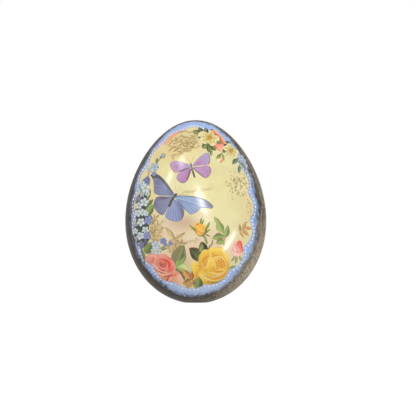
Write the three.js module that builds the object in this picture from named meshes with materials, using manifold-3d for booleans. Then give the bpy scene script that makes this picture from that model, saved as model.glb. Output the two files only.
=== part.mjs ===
// A decoupage egg: a turned limewood egg whose front is covered with glued paper cut-outs.
// Millimetres, +Z up. The egg stands on its foot at z = 0 and its decorated side faces -Y.
import * as THREE from "three";
import { TessellateModifier } from "three/addons/modifiers/TessellateModifier.js";
import { mergeVertices } from "three/addons/utils/BufferGeometryUtils.js";
import Module from "manifold-3d";

const wasm = await Module();
wasm.setup();

// The turned egg.
const EGG_LENGTH = 120; // blunt end to point, before the foot is sanded flat
const MID_DIAMETER = 91.8; // across the middle of that length
const BLUNTNESS = 0.107; // share by which the lower half is fuller and the upper half slimmer
const TAPER = 0.033; // share by which both ends are slimmer than a plain oval
const FOOT_DIAMETER = 14; // the flat that the egg stands on
const PROFILE_STEPS = 24;
const TURN_STEPS = 48;

// The paper.
const PAPER = 0.15; // thickness of a cut-out
const GLUE_GAP = 0.3; // from the wood to the first layer, and from each layer to the next
const TRIM_GAP = 0.3; // between the scalloped edge and a cut-out trimmed to it
const FOOT_MARGIN = 6; // of bare wood kept between the paper and the foot
const LONGEST_EDGE = 7; // of a facet, so that the paper follows the egg

// The scalloped frame, measured on the flat sheet from the middle of the egg's front.
const SCALLOPS = 16;
const SCALLOP_START = 0.43; // where the first point lies, as a share of one scallop
const SCALLOP_STEPS = 6; // straight lengths in each arc
const SCALLOP_RISE = 5; // how far each scallop bows out past its two points
const FRAME_CENTRE = new THREE.Vector2(-2.6, 5.6);
const POINTS_HALF_WIDTH = 42.5; // the oval through the scallops' points
const POINTS_HALF_HEIGHT = 61;
const FRAME_HALF_WIDTH = 58; // the oval of the frame's outer edge
const FRAME_HALF_HEIGHT = 80;
const GROUND_MARGIN = 3; // how far the ground sheet runs on under the frame

// The egg that the artwork is drawn for, seen straight from the front.
const ART_HALF_WIDTH = 45.9;
const ART_HALF_HEIGHT = 60;

const COLOURS = {
  wood: 0x6d6455,
  cream: 0xe6dcae,
  blue: 0x98b2e0,
  mauve: 0xb48abf,
  slate: 0x7d88b5,
  yellow: 0xecc24e,
  coral: 0xe88a72,
  pink: 0xe58f8c,
  leaf: 0x7c9456,
  darkLeaf: 0x4d5a34,
  russet: 0xb0733c,
  forgetMeNot: 0xa9bccb,
  primrose: 0xeddf93,
};

const group = new THREE.Group();

function piece(name, geometry, colour) {
  const finish = { color: colour, roughness: 0.25, metalness: 0 };
  const mesh = new THREE.Mesh(geometry, new THREE.MeshStandardMaterial(finish));
  mesh.name = name;
  group.add(mesh);
}

// ---------------------------------------------------------------- the egg's surface
// The egg is a unit sphere stretched to half its length and, at each height, to a girth.
// t is the height from the middle as a share of half the length, from -1 to 1.
const halfLength = EGG_LENGTH / 2;
const girth = (t) => (MID_DIAMETER / 2) * (1 - BLUNTNESS * t - TAPER * t * t);
const girthSlope = (t) => (MID_DIAMETER / 2) * (-BLUNTNESS - 2 * TAPER * t);
const footT = -Math.sqrt(1 - (FOOT_DIAMETER / 2 / girth(-1)) ** 2);
const middle = -footT * halfLength; // height of the egg's middle above its foot
const lowestPaper = Math.asin(footT) * halfLength + FOOT_MARGIN; // on the flat sheet

// The point of the flat sheet at (x, y) from the middle of the front, once it is laid on
// the egg and lifted off the wood by lift.
function onEgg(x, y, lift) {
  const u = x / (MID_DIAMETER / 2);
  const v = y / halfLength;
  const angle = Math.hypot(u, v);
  const shrink = angle > 1e-9 ? Math.sin(angle) / angle : 1;
  const t = v * shrink;
  const g = girth(t);
  const outward = new THREE.Vector3(u * shrink, -Math.cos(angle), 0);
  const point = new THREE.Vector3(outward.x * g, outward.y * g, middle + halfLength * t);
  outward.multiplyScalar(1 / g);
  outward.z = (t - (1 - t * t) * (girthSlope(t) / g)) / halfLength;
  return point.addScaledVector(outward.normalize(), lift);
}

// ---------------------------------------------------------------- drawing on the sheet
// A point of the artwork, given as it is seen from the front, laid out on the flat sheet.
function seen([across, up]) {
  const t = up / ART_HALF_HEIGHT;
  const u = across / (ART_HALF_WIDTH * (1 - BLUNTNESS * t - TAPER * t * t));
  const s = Math.hypot(u, t);
  const stretch = s > 1e-9 ? Math.asin(Math.min(s, 1)) / s : 1;
  return new THREE.Vector2(ART_HALF_WIDTH * u * stretch, ART_HALF_HEIGHT * t * stretch);
}

// A smooth closed outline through points of the artwork.
function outline(points, samples = points.length * 3) {
  const knots = points.map(seen).map((p) => new THREE.Vector3(p.x, p.y, 0));
  const curve = new THREE.CatmullRomCurve3(knots, true, "centripetal");
  const round = curve.getPoints(samples).slice(0, -1);
  return new THREE.Shape(round.map((p) => new THREE.Vector2(p.x, p.y)));
}

// A pointed leaf from its base to its tip.
function leaf(base, tip, width) {
  const from = seen(base);
  const along = seen(tip).sub(from);
  const across = new THREE.Vector2(-along.y, along.x).normalize();
  const side = (share, sign) =>
    from
      .clone()
      .addScaledVector(along, share)
      .addScaledVector(across, (sign * width * Math.sin(Math.PI * share ** 0.85)) / 2);
  const shares = [0.15, 0.35, 0.6, 0.82];
  const right = shares.map((s) => side(s, -1));
  const left = shares.map((s) => side(s, 1)).reverse();
  return new THREE.Shape([from, ...right, side(1, 0), ...left]);
}

// A stem of even width along points of the artwork.
function stem(points, width) {
  const knots = points.map(seen).map((p) => new THREE.Vector3(p.x, p.y, 0));
  const curve = new THREE.CatmullRomCurve3(knots);
  const steps = points.length * 2;
  const edge = (sign) =>
    Array.from({ length: steps + 1 }, (_, i) => {
      const at = curve.getPointAt(i / steps);
      const way = curve.getTangentAt(i / steps);
      const offset = (sign * width) / 2;
      return new THREE.Vector2(at.x - way.y * offset, at.y + way.x * offset);
    });
  return new THREE.Shape([...edge(-1), ...edge(1).reverse()]);
}

// A flower head with rounded petals, all in one outline.
function blossom(centre, radius, petals = 5, turn = 0) {
  const at = seen(centre);
  const samples = petals * 6;
  const points = Array.from({ length: samples }, (_, i) => {
    const angle = turn + (i / samples) * 2 * Math.PI;
    const reach = radius * (0.88 + 0.12 * Math.cos(petals * (angle - turn)));
    return new THREE.Vector2(at.x + reach * Math.cos(angle), at.y + reach * Math.sin(angle));
  });
  return new THREE.Shape(points);
}

// The oval edge of a large sheet, in evenly spaced points from the same direction as the
// scallops. A sheet that would reach under the egg is trimmed short of the foot.
function sheetEdge(halfWidth, halfHeight, samples) {
  const { x, y } = FRAME_CENTRE;
  const curve = new THREE.EllipseCurve(x, y, halfWidth, halfHeight);
  const start = SCALLOP_START / SCALLOPS;
  const shares = Array.from({ length: samples }, (_, i) => (start + i / samples) % 1);
  const points = shares.map((share) => curve.getPointAt(share));
  return points.map((p) => new THREE.Vector2(p.x, Math.max(p.y, lowestPaper)));
}

// The frame's inner edge: arcs bowing out between points spaced evenly round an oval.
// It is drawn smaller all round by inset.
function scallopEdge(inset) {
  const width = POINTS_HALF_WIDTH - inset;
  const height = POINTS_HALF_HEIGHT - inset;
  const curve = new THREE.EllipseCurve(FRAME_CENTRE.x, FRAME_CENTRE.y, width, height);
  const arcSteps = SCALLOP_STEPS;
  const edge = [];
  for (let i = 0; i < SCALLOPS; i++) {
    const a = curve.getPointAt(((i + SCALLOP_START) / SCALLOPS) % 1);
    const b = curve.getPointAt(((i + 1 + SCALLOP_START) / SCALLOPS) % 1);
    const chord = b.clone().sub(a);
    const out = new THREE.Vector2(chord.y, -chord.x).normalize();
    for (let k = 0; k < arcSteps; k++) {
      const share = k / arcSteps;
      const bow = SCALLOP_RISE * 4 * share * (1 - share);
      edge.push(a.clone().addScaledVector(chord, share).addScaledVector(out, bow));
    }
  }
  return edge;
}

// ---------------------------------------------------------------- cutting and laying
function asSolid(geometry) {
  geometry.deleteAttribute("normal");
  geometry.deleteAttribute("uv");
  const merged = mergeVertices(geometry, 1e-4);
  return new wasm.Manifold(
    new wasm.Mesh({
      numProp: 3,
      vertProperties: merged.attributes.position.array,
      triVerts: new Uint32Array(merged.index.array),
    }),
  );
}

function slab(shape) {
  return asSolid(new THREE.ExtrudeGeometry(shape, { depth: PAPER, bevelEnabled: false }));
}

// Glues a flat sheet to the egg in its layer: 1 lies on the wood.
function lay(name, layer, colour, sheet) {
  const places = sheet.attributes.position;
  const underside = GLUE_GAP + (layer - 1) * (PAPER + GLUE_GAP);
  for (let i = 0; i < places.count; i++) {
    const p = onEgg(places.getX(i), places.getY(i), underside + places.getZ(i));
    places.setXYZ(i, p.x, p.y, p.z);
  }
  sheet.computeVertexNormals();
  piece(name, sheet, colour);
}

// A cut-out joined from its shapes into one closed piece.
function cutOut(name, layer, colour, shapes, trimTo = null) {
  let flat = shapes.map(slab).reduce((joined, next) => joined.add(next));
  if (trimTo) flat = flat.subtract(trimTo);
  const cut = flat.getMesh();
  const sheet = new THREE.BufferGeometry();
  sheet.setAttribute("position", new THREE.BufferAttribute(cut.vertProperties, 3));
  sheet.setIndex(new THREE.BufferAttribute(cut.triVerts, 1));
  lay(name, layer, colour, new TessellateModifier(LONGEST_EDGE, 12).modify(sheet));
}

// A large sheet between two outlines of as many points each, in rings so that it bends
// evenly. It is turned as a flat ring and its points are then moved to the outlines.
function ringSheet(inner, outer, rings) {
  const profile = [];
  for (let j = 0; j <= rings; j++) profile.push(new THREE.Vector2(j / rings, 0));
  for (let j = rings; j >= 0; j--) profile.push(new THREE.Vector2(j / rings, PAPER));
  profile.push(profile[0].clone());
  const sheet = new THREE.LatheGeometry(profile, outer.length);
  const places = sheet.attributes.position;
  for (let i = 0; i < places.count; i++) {
    const round = Math.floor(i / profile.length) % outer.length;
    const { x: share, y: up } = profile[i % profile.length];
    const p = inner[round].clone().lerp(outer[round], share);
    places.setXYZ(i, p.x, p.y, up);
  }
  return sheet;
}

// ---------------------------------------------------------------- the turned egg
function turnedEgg() {
  const footAngle = Math.asin(footT);
  const profile = [new THREE.Vector2(0, 0)];
  for (let i = 0; i <= PROFILE_STEPS; i++) {
    const t = Math.sin(footAngle + (Math.PI / 2 - footAngle) * (i / PROFILE_STEPS));
    const radius = girth(t) * Math.sqrt(Math.max(0, 1 - t * t));
    profile.push(new THREE.Vector2(i < PROFILE_STEPS ? radius : 0, middle + halfLength * t));
  }
  return new THREE.LatheGeometry(profile, TURN_STEPS).rotateX(Math.PI / 2);
}

piece("egg_body", turnedEgg(), COLOURS.wood);

// ---------------------------------------------------------------- layer 1: the ground
const groundWidth = POINTS_HALF_WIDTH + SCALLOP_RISE + GROUND_MARGIN;
const groundHeight = POINTS_HALF_HEIGHT + SCALLOP_RISE + GROUND_MARGIN;
const groundEdge = sheetEdge(groundWidth, groundHeight, 64);
const groundMiddle = groundEdge.map(() => FRAME_CENTRE);
lay("ground_sheet", 1, COLOURS.cream, ringSheet(groundMiddle, groundEdge, 11));

// ---------------------------------------------------------------- layer 2: frame and first motifs
const frameEdge = sheetEdge(FRAME_HALF_WIDTH, FRAME_HALF_HEIGHT, SCALLOPS * SCALLOP_STEPS);
lay("scallop_frame", 2, COLOURS.blue, ringSheet(scallopEdge(0), frameEdge, 3));

// Cut-outs of the same layer stop just short of the scallops.
const allButScallops = new THREE.Shape(frameEdge);
allButScallops.holes.push(new THREE.Path(scallopEdge(TRIM_GAP)));
const outsideScallops = slab(allButScallops);

cutOut("purple_butterfly", 2, COLOURS.mauve, [
  stem([[-3, 31], [-2.2, 27.5], [-0.6, 22.4]], 1.3),
  outline([[-3, 29.6], [-9, 32], [-14, 32.7], [-16.2, 30.8], [-15.3, 27.4], [-12.8, 25.6], [-7.5, 27.2]]),
  outline([[-2.4, 28.2], [-7, 27], [-11.5, 25], [-12.6, 22.3], [-10.5, 19.3], [-6, 18.8], [-3.8, 22]]),
  outline([[-2.4, 29.8], [1, 34], [5, 37.2], [8.3, 38], [9.6, 34.5], [8.7, 30.6], [4, 29.7]]),
  outline([[-2, 28.6], [4, 28.9], [8.5, 29.6], [10.2, 26.8], [8.8, 23], [5.8, 21.8], [1.5, 25]]),
]);

cutOut("blue_butterfly", 2, COLOURS.slate, [
  stem([[-12.9, 11.4], [-14.6, 8.5], [-16.9, 4]], 1.6),
  outline([
    [-13.8, 10.6], [-16, 14.6], [-20, 20.6], [-24.5, 24.2], [-28.9, 24], [-27.2, 20],
    [-26.8, 12], [-20, 10.2],
  ]),
  outline([[-14.4, 9.4], [-20, 9.8], [-25, 9.4], [-27, 5.5], [-25.5, 0.6], [-22, -2.1], [-18.4, 2]]),
  outline([[-14.6, 8.4], [-18, 2], [-19.8, -2.6], [-16.5, -5.6], [-11, -6], [-7.2, -2.6], [-8, 2.6]]),
  outline([
    [-13.4, 9.6], [-8, 10.4], [-1, 10.1], [7, 7.6], [11.2, 4], [10, 1.8], [4, 2],
    [-3.6, -1.5], [-7.8, 2.8],
  ]),
]);

cutOut("yellow_rosebud", 2, COLOURS.yellow, [
  outline([[-0.8, -10], [0.6, -7], [3.4, -5.6], [5.6, -7.8], [7.2, -11], [5.4, -15.2], [2, -15.3]]),
  stem([[4.6, -14.6], [6.4, -17], [7.2, -19.4]], 1.1),
  leaf([2, -15], [-3.4, -8.8], 2.2),
  leaf([5, -15], [8.8, -6.4], 2.4),
]);

cutOut("green_leaf_sprig", 2, COLOURS.leaf, [
  stem([[13.6, -4.4], [15.2, -7], [17.4, -12], [18.2, -16.5], [18.2, -21]], 0.8),
  leaf([16, -6], [12, -3.2], 2.4),
  leaf([17.2, -12.4], [14, -5], 4.4),
  leaf([18.6, -16.4], [20.8, -8.6], 3.4),
  leaf([18.6, -15.8], [10.8, -16.6], 4.8),
  leaf([18.6, -19.4], [13.2, -20.4], 4.6),
]);

cutOut("pink_rosebud", 2, COLOURS.pink, [
  outline([
    [23.2, -22.6], [25.2, -19.6], [28.6, -18.4], [30.4, -21.4], [30.9, -25.6], [28.6, -29],
    [25, -28.8],
  ]),
  leaf([26.4, -28.8], [25, -32.6], 2),
  leaf([27.4, -28.8], [29.6, -32.4], 2),
], outsideScallops);

cutOut("brown_leaf_sprig", 2, COLOURS.russet, [
  stem([[28.4, -12.4], [30.4, -11.2], [31.6, -10.4]], 0.7),
  leaf([28.6, -12.6], [28, -8.6], 1.4),
  leaf([30.2, -11.6], [31.6, -7.6], 1.8),
  leaf([31, -10.6], [35.4, -11], 1.8),
  leaf([30, -11.2], [33, -14.8], 2),
  leaf([28.2, -12], [30.2, -15.2], 1.6),
], outsideScallops);

cutOut("dark_rose_leaves", 2, COLOURS.darkLeaf, [
  outline([[-4, -23.6], [-0.5, -23], [2.8, -24.8], [3.4, -28], [2.6, -32.6], [-1.4, -31], [-3.6, -27.6]]),
  outline([[2.4, -25.6], [2.3, -21.4], [4, -19.2], [6.4, -20.8], [7.6, -24.4], [5, -26.4]]),
]);

cutOut("large_rose_leaf", 2, COLOURS.leaf, [
  leaf([-13.2, -35.4], [-7.2, -21.4], 9),
  leaf([-13.8, -34.6], [-2, -39.2], 4.8),
  leaf([-13.4, -34.8], [-7.4, -42.8], 4.6),
]);

cutOut("coral_bud", 2, COLOURS.coral, [
  outline([[14.6, 34.6], [16.6, 37], [18, 34.6], [16.8, 31.6], [15.2, 31.8]]),
  stem([[16.4, 35.4], [17.2, 38.4]], 0.8),
  leaf([16, 36], [12.8, 33.6], 1.4),
]);

cutOut("coral_petal", 2, COLOURS.coral, [
  outline([[-20.6, 45], [-18, 49], [-14, 51.6], [-8, 53.2], [-11, 50.2], [-15, 48.2], [-17.8, 45]]),
], outsideScallops);

cutOut("forget_me_not_tuft", 2, COLOURS.forgetMeNot, [
  outline([[-33, -25], [-31.6, -21], [-29, -19.6], [-27.6, -23], [-28.6, -26.8]]),
  blossom([-25.6, -21.4], 2.9),
  blossom([-24.2, -25], 2.7),
  blossom([-26.8, -25.2], 2.2),
  stem([[-24.6, -23.4], [-22, -23.8], [-20, -23.6]], 0.8),
  leaf([-22.6, -23.6], [-18.4, -24.2], 1.9),
  stem([[-22, -23.6], [-20, -20.4], [-16.2, -20.4]], 0.7),
  blossom([-20.6, -18.8], 2.3),
  blossom([-16.2, -20.4], 1.3),
], outsideScallops);

// ---------------------------------------------------------------- layer 3: over the frame and the leaves
cutOut("yellow_rose", 3, COLOURS.yellow, [
  outline([
    [2, -28], [4.4, -25], [9.6, -23.2], [14, -23], [18.2, -24], [21, -28], [22, -33], [21, -39.4],
    [17, -44.4], [12, -46.6], [5.6, -46], [0.4, -44.4], [-1.6, -39], [-2.9, -33.8], [-0.4, -32.2],
  ]),
], outsideScallops);

cutOut("pink_rose", 3, COLOURS.pink, [
  outline([
    [-32.2, -30], [-29.6, -27], [-25, -27.2], [-20.6, -26.8], [-16, -30], [-13.2, -35.4], [-9.8, -40.2],
    [-8.4, -45], [-14, -46.8], [-20, -45], [-25, -39], [-30, -36.6],
  ]),
], outsideScallops);

cutOut("forget_me_not_spray", 3, COLOURS.forgetMeNot, [
  stem([
    [-20.8, 36.4], [-25, 32.6], [-29.4, 27], [-32.6, 20], [-35, 8], [-35.6, -8], [-35, -22],
    [-32.4, -34],
  ], 1.4),
  blossom([-21.2, 36], 1.4),
  leaf([-25.8, 31.6], [-24.8, 34.6], 1.4),
  blossom([-26.6, 29.4], 2.6),
  outline([
    [-30, 23], [-28.8, 21.4], [-30.4, 16], [-30, 11], [-30.6, 4], [-28, -4], [-30.8, -8],
    [-30.4, -14], [-31.2, -19.6], [-34, -23.4], [-37.6, -19], [-39.2, -12], [-38.6, -4],
    [-39, 3], [-37.8, 8], [-36, 14], [-34.2, 20],
  ]),
  leaf([-30.8, 9], [-29.2, 14.6], 1.8),
  leaf([-31.4, 0.4], [-27, 4.6], 4),
]);

cutOut("garland_leaves", 3, COLOURS.darkLeaf, [
  stem([[1.4, 51], [5, 49], [9, 45], [15, 43.8], [19.4, 43.2], [20.6, 40.6]], 2),
  leaf([4.4, 49.4], [-0.4, 53.2], 4.6),
  leaf([5.4, 48.8], [8.4, 54], 4.4),
  leaf([6.4, 47.8], [0.8, 48], 2.6),
  leaf([8.4, 45.4], [4, 41.8], 5),
  leaf([9.2, 45], [10, 36.6], 2.8),
  leaf([9.4, 44.8], [12.8, 40.4], 4.2),
  leaf([18.6, 43.4], [22.6, 44.8], 3.6),
  leaf([19.4, 42.8], [17.6, 38.6], 2.4),
]);

cutOut("bellflower_sprig", 3, COLOURS.forgetMeNot, [
  stem([[27, 35], [29, 31.6], [30.6, 27.6], [33, 24]], 2.2),
  leaf([27.6, 34], [24.2, 30.8], 3.4),
  leaf([29.4, 30.4], [28, 24.8], 2.8),
  blossom([29.6, 33.2], 3),
  blossom([31.4, 29.4], 2.8),
]);

// ---------------------------------------------------------------- layer 4: the topmost cut-outs
cutOut("low_leaf", 4, COLOURS.leaf, [leaf([1.6, -50], [2.2, -41.8], 6)], outsideScallops);

cutOut("russet_leaves", 4, COLOURS.russet, [
  leaf([-3, -43.8], [-8.4, -36.6], 4),
  leaf([-2.2, -44.4], [-1.8, -38.8], 2),
  leaf([-1.8, -44.6], [-8, -46.6], 4.6),
  leaf([-1.6, -44.8], [-5.4, -49.4], 3.2),
  stem([[-3.2, -43.4], [-1.2, -45.4]], 1.6),
], outsideScallops);

const dogRose = { centre: [8.6, 47.9], radius: 8.2, turn: 1.2 };
const { centre, radius, turn } = dogRose;
cutOut("large_dog_rose", 4, COLOURS.primrose, [blossom(centre, radius, 5, turn)]);

cutOut("small_dog_rose", 4, COLOURS.primrose, [blossom([23.2, 38.8], 6, 5, 0.4)]);

// The coral rose shows from behind the large dog rose.
cutOut(
  "coral_rose",
  4,
  COLOURS.coral,
  [
    outline([
      [7.4, 53.6], [12, 53], [15.6, 50.6], [18, 48], [19.2, 44.8], [18, 42.2], [17.3, 39.6],
      [15, 39.4], [12, 41.6], [9, 47],
    ]),
  ],
  slab(blossom(centre, radius + TRIM_GAP, 5, turn)),
);

export default group;
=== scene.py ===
import math

import bpy
import numpy as np
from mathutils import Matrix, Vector
from mathutils.geometry import delaunay_2d_cdt


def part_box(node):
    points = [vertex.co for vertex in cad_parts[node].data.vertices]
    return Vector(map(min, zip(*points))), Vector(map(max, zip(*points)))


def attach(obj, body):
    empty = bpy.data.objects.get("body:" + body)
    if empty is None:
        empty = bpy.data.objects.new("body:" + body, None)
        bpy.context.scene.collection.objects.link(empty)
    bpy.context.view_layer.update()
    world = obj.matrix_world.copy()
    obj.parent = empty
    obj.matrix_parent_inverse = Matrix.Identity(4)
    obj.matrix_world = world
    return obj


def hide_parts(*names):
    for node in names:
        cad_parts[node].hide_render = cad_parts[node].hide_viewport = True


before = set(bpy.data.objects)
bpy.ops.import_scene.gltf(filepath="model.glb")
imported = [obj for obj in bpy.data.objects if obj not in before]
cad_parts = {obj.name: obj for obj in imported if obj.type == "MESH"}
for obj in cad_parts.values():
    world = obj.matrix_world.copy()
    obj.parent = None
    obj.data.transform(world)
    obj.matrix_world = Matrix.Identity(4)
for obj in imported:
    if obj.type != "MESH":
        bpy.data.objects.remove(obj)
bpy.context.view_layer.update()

# ---------------------------------------------------------------- the turned egg
# The core is a limewood egg turned on a lathe, with a small flat sanded under it to stand
# on. All but its front is sponged with bronze-brown paint, and gloss lacquer covers it.
MM = 0.001
EGG_LENGTH = 120.0
MID_DIAMETER = 91.8
BLUNTNESS = 0.107  # share by which the lower half is fuller and the upper half slimmer
TAPER = 0.033  # share by which both ends are slimmer than a plain oval
FOOT_DIAMETER = 14.0
HALF = EGG_LENGTH / 2
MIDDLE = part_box("egg_body")[1].z / MM - HALF  # height of the egg's middle above its foot

BRONZE_DARK = (40, 28, 14)
BRONZE = (98, 83, 58)
BRONZE_LIGHT = (196, 184, 156)


def srgb(colour):
    """A colour written from 0 to 255, as the shaders want it."""
    share = np.array(colour, float) / 255
    return np.where(share <= 0.04045, share / 12.92, ((share + 0.055) / 1.055) ** 2.4)


def add_node(tree, kind, inputs=None, **settings):
    """Adds a node, with each input joined to a socket or set to a value."""
    made = tree.nodes.new(kind)
    for name, value in settings.items():
        setattr(made, name, value)
    for key, value in (inputs or {}).items():
        if isinstance(value, bpy.types.NodeSocket):
            tree.links.new(value, made.inputs[key])
        elif isinstance(value, np.ndarray):
            made.inputs[key].default_value = (*value, 1)
        else:
            made.inputs[key].default_value = value
    return made


def calc(tree, operation, *values):
    """One step of arithmetic in a node tree."""
    return add_node(tree, "ShaderNodeMath", dict(enumerate(values)), operation=operation).outputs[0]


def blend_colour(tree, share, a, b, mode="MIX"):
    """Goes from colour a to colour b as the share goes from 0 to 1."""
    inputs = {0: share, 6: a, 7: b}
    mixed = add_node(tree, "ShaderNodeMix", inputs, data_type="RGBA", blend_type=mode)
    return mixed.outputs[2]


def ramp(tree, value, low, high):
    """Eases from 0 to 1 as a value goes from low to high."""
    inputs = {"Value": value, "From Min": low, "From Max": high}
    eased = add_node(tree, "ShaderNodeMapRange", inputs, interpolation_type="SMOOTHSTEP")
    return eased.outputs[0]


def noise(tree, where, scale, detail=3.0, roughness=0.55, distortion=0.0):
    inputs = {"Vector": where, "Scale": scale, "Detail": detail}
    inputs |= {"Roughness": roughness, "Distortion": distortion}
    return add_node(tree, "ShaderNodeTexNoise", inputs).outputs["Fac"]


def stretched(tree, where, scale, turn=(0, 0, 0)):
    inputs = {"Vector": where, "Rotation": turn, "Scale": scale}
    return add_node(tree, "ShaderNodeMapping", inputs).outputs[0]


def node_group(kind, name, inputs, outputs):
    """An empty group: inputs {name: (type, value)} and outputs {name: type}."""
    group = bpy.data.node_groups.new(name, kind)
    for socket, (type_, value) in inputs.items():
        made = group.interface.new_socket(socket, in_out="INPUT", socket_type="NodeSocket" + type_)
        if value is not None:
            made.default_value = (*value, 1) if isinstance(value, np.ndarray) else value
    for socket, type_ in outputs.items():
        group.interface.new_socket(socket, in_out="OUTPUT", socket_type="NodeSocket" + type_)
    return group, add_node(group, "NodeGroupInput").outputs, add_node(group, "NodeGroupOutput").inputs


def use_group(tree, group, inputs=None):
    return add_node(tree, "ShaderNodeGroup", inputs, node_tree=group).outputs


PAPER_GLOSS, PAINT_GLOSS = 0.4, 0.16  # weights of the lacquer on paper and on bronze


def lacquered(name, gloss=PAPER_GLOSS):
    """A material under the gloss lacquer, and its shader."""
    material = bpy.data.materials.new(name)
    material.use_nodes = True
    shader = material.node_tree.nodes["Principled BSDF"]
    for socket, value in {
        "Roughness": 0.55, "Specular IOR Level": 0.05, "Coat Weight": gloss,
        "Coat Roughness": 0.18, "Coat IOR": 1.42,
    }.items():
        shader.inputs[socket].default_value = value
    return material, material.node_tree, shader


def bump(tree, height, strength, distance):
    inputs = {"Height": height, "Strength": strength, "Distance": distance}
    return add_node(tree, "ShaderNodeBump", inputs).outputs[0]


# The paint is dabbed on with a sponge and dragged a little, dark first and then lighter, with painted light
# on its right and painted shade on its left.
sponged, given, out = node_group(
    "ShaderNodeTree", "sponged_bronze",
    {"Dark": ("Color", srgb(BRONZE_DARK)), "Middle": ("Color", srgb(BRONZE)),
     "Light": ("Color", srgb(BRONZE_LIGHT)), "Dab Scale": ("Float", 260.0)},
    {"Colour": "Color", "Height": "Float"},
)
place = add_node(sponged, "ShaderNodeTexCoord").outputs["Object"]
dragged = stretched(sponged, place, (1.0, 1.0, 0.42), (0.0, 0.35, 0.0))
dabs = noise(sponged, dragged, given["Dab Scale"], 5.0, 0.68, 0.6)
fine = noise(sponged, dragged, calc(sponged, "MULTIPLY", given["Dab Scale"], 3.6), 3.0, 0.7)
broad = noise(sponged, place, 38.0, 2.0, 0.5)
across = add_node(sponged, "ShaderNodeSeparateXYZ", {0: place}).outputs
# Painted light and shade: this share goes from the left side (0) to the right (1), and the right is painted
# lighter and the left darker.
side = ramp(sponged, across[0], -0.045, 0.045)
low = calc(sponged, "SUBTRACT", 1.0, ramp(sponged, across[2], 0.02, 0.07))
painted_highlight_low_right = calc(sponged, "MULTIPLY", low, side)  # painted highlight: the dabs are lighter low down on the right
body = blend_colour(sponged, ramp(sponged, dabs, 0.36, 0.6), given["Dark"], given["Middle"])
lit = calc(sponged, "ADD", calc(sponged, "MULTIPLY", fine, 0.6), calc(sponged, "MULTIPLY", dabs, 0.4))
lit = ramp(sponged, lit, 0.46, 0.64)
lit = calc(sponged, "MULTIPLY", lit, ramp(sponged, broad, 0.3, 0.62))
# Painted light: the light dabs grow much stronger towards the right side.
lit = calc(sponged, "MULTIPLY", lit, calc(sponged, "MULTIPLY_ADD", side, 0.75, 0.12))
lit = calc(sponged, "MAXIMUM", lit, calc(sponged, "MULTIPLY", painted_highlight_low_right, ramp(sponged, fine, 0.36, 0.6)))
body = blend_colour(sponged, lit, body, given["Light"])
# Painted shade: the left side is darkened towards the dark colour.
shade = calc(sponged, "MULTIPLY_ADD", side, -0.8, 0.8)
body = blend_colour(sponged, calc(sponged, "MAXIMUM", shade, 0.0), body, given["Dark"])
sponged.links.new(body, out["Colour"])
height = calc(sponged, "ADD", dabs, calc(sponged, "MULTIPLY", fine, 0.5))
sponged.links.new(height, out["Height"])

egg_finish, tree, shader = lacquered("egg_finish", PAINT_GLOSS)
paint = use_group(tree, sponged)
wood_place = add_node(tree, "ShaderNodeTexCoord").outputs["Object"]
rings = stretched(tree, wood_place, (1.0, 1.0, 0.1))
wood = noise(tree, rings, 420.0, 4.0, 0.6, 1.2)
wood = blend_colour(tree, ramp(tree, wood, 0.35, 0.65), srgb((150, 112, 70)), srgb((205, 170, 122)))
height = add_node(tree, "ShaderNodeSeparateXYZ", {0: wood_place}).outputs[2]
ragged = noise(tree, wood_place, 700.0, 4.0, 0.6)
worn = calc(tree, "MULTIPLY_ADD", ragged, -0.0006, height)
bare = calc(tree, "SUBTRACT", 1.0, ramp(tree, worn, -0.00022, 0.0))
tree.links.new(blend_colour(tree, bare, paint["Colour"], wood), shader.inputs["Base Color"])
tree.links.new(bump(tree, paint["Height"], 0.5, 0.0002), shader.inputs["Normal"])
tree.links.new(calc(tree, "MULTIPLY_ADD", bare, 0.02 - PAINT_GLOSS, PAINT_GLOSS),
    shader.inputs["Coat Weight"])

# The turning: a grid bent round the axis, with its radius from the egg's rule.
turning, given, out = node_group(
    "GeometryNodeTree", "egg_turning",
    {"Length": ("Float", EGG_LENGTH * MM), "Mid Diameter": ("Float", MID_DIAMETER * MM),
     "Bluntness": ("Float", BLUNTNESS), "Taper": ("Float", TAPER),
     "Foot Diameter": ("Float", FOOT_DIAMETER * MM), "Foot Share": ("Float", 0.04),
     "Turn Steps": ("Int", 144), "Profile Steps": ("Int", 110)},
    {"Geometry": "Geometry"},
)
columns = calc(turning, "ADD", given["Turn Steps"], 1)
rows = calc(turning, "ADD", given["Profile Steps"], 1)
sizes = {"Size X": 1.0, "Size Y": 1.0, "Vertices X": columns, "Vertices Y": rows}
lattice = add_node(turning, "GeometryNodeMeshGrid", sizes).outputs["Mesh"]
position = add_node(turning, "GeometryNodeInputPosition").outputs[0]
spot = add_node(turning, "ShaderNodeSeparateXYZ", {0: position}).outputs
share = calc(turning, "ADD", spot[1], 0.5)
half_mid = calc(turning, "MULTIPLY", given["Mid Diameter"], 0.5)
half_length = calc(turning, "MULTIPLY", given["Length"], 0.5)


def girth_at(t):
    slimmer = calc(turning, "MULTIPLY", given["Bluntness"], t)
    ends = calc(turning, "MULTIPLY", given["Taper"], calc(turning, "MULTIPLY", t, t))
    left = calc(turning, "SUBTRACT", calc(turning, "SUBTRACT", 1.0, slimmer), ends)
    return calc(turning, "MULTIPLY", half_mid, left)


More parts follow.
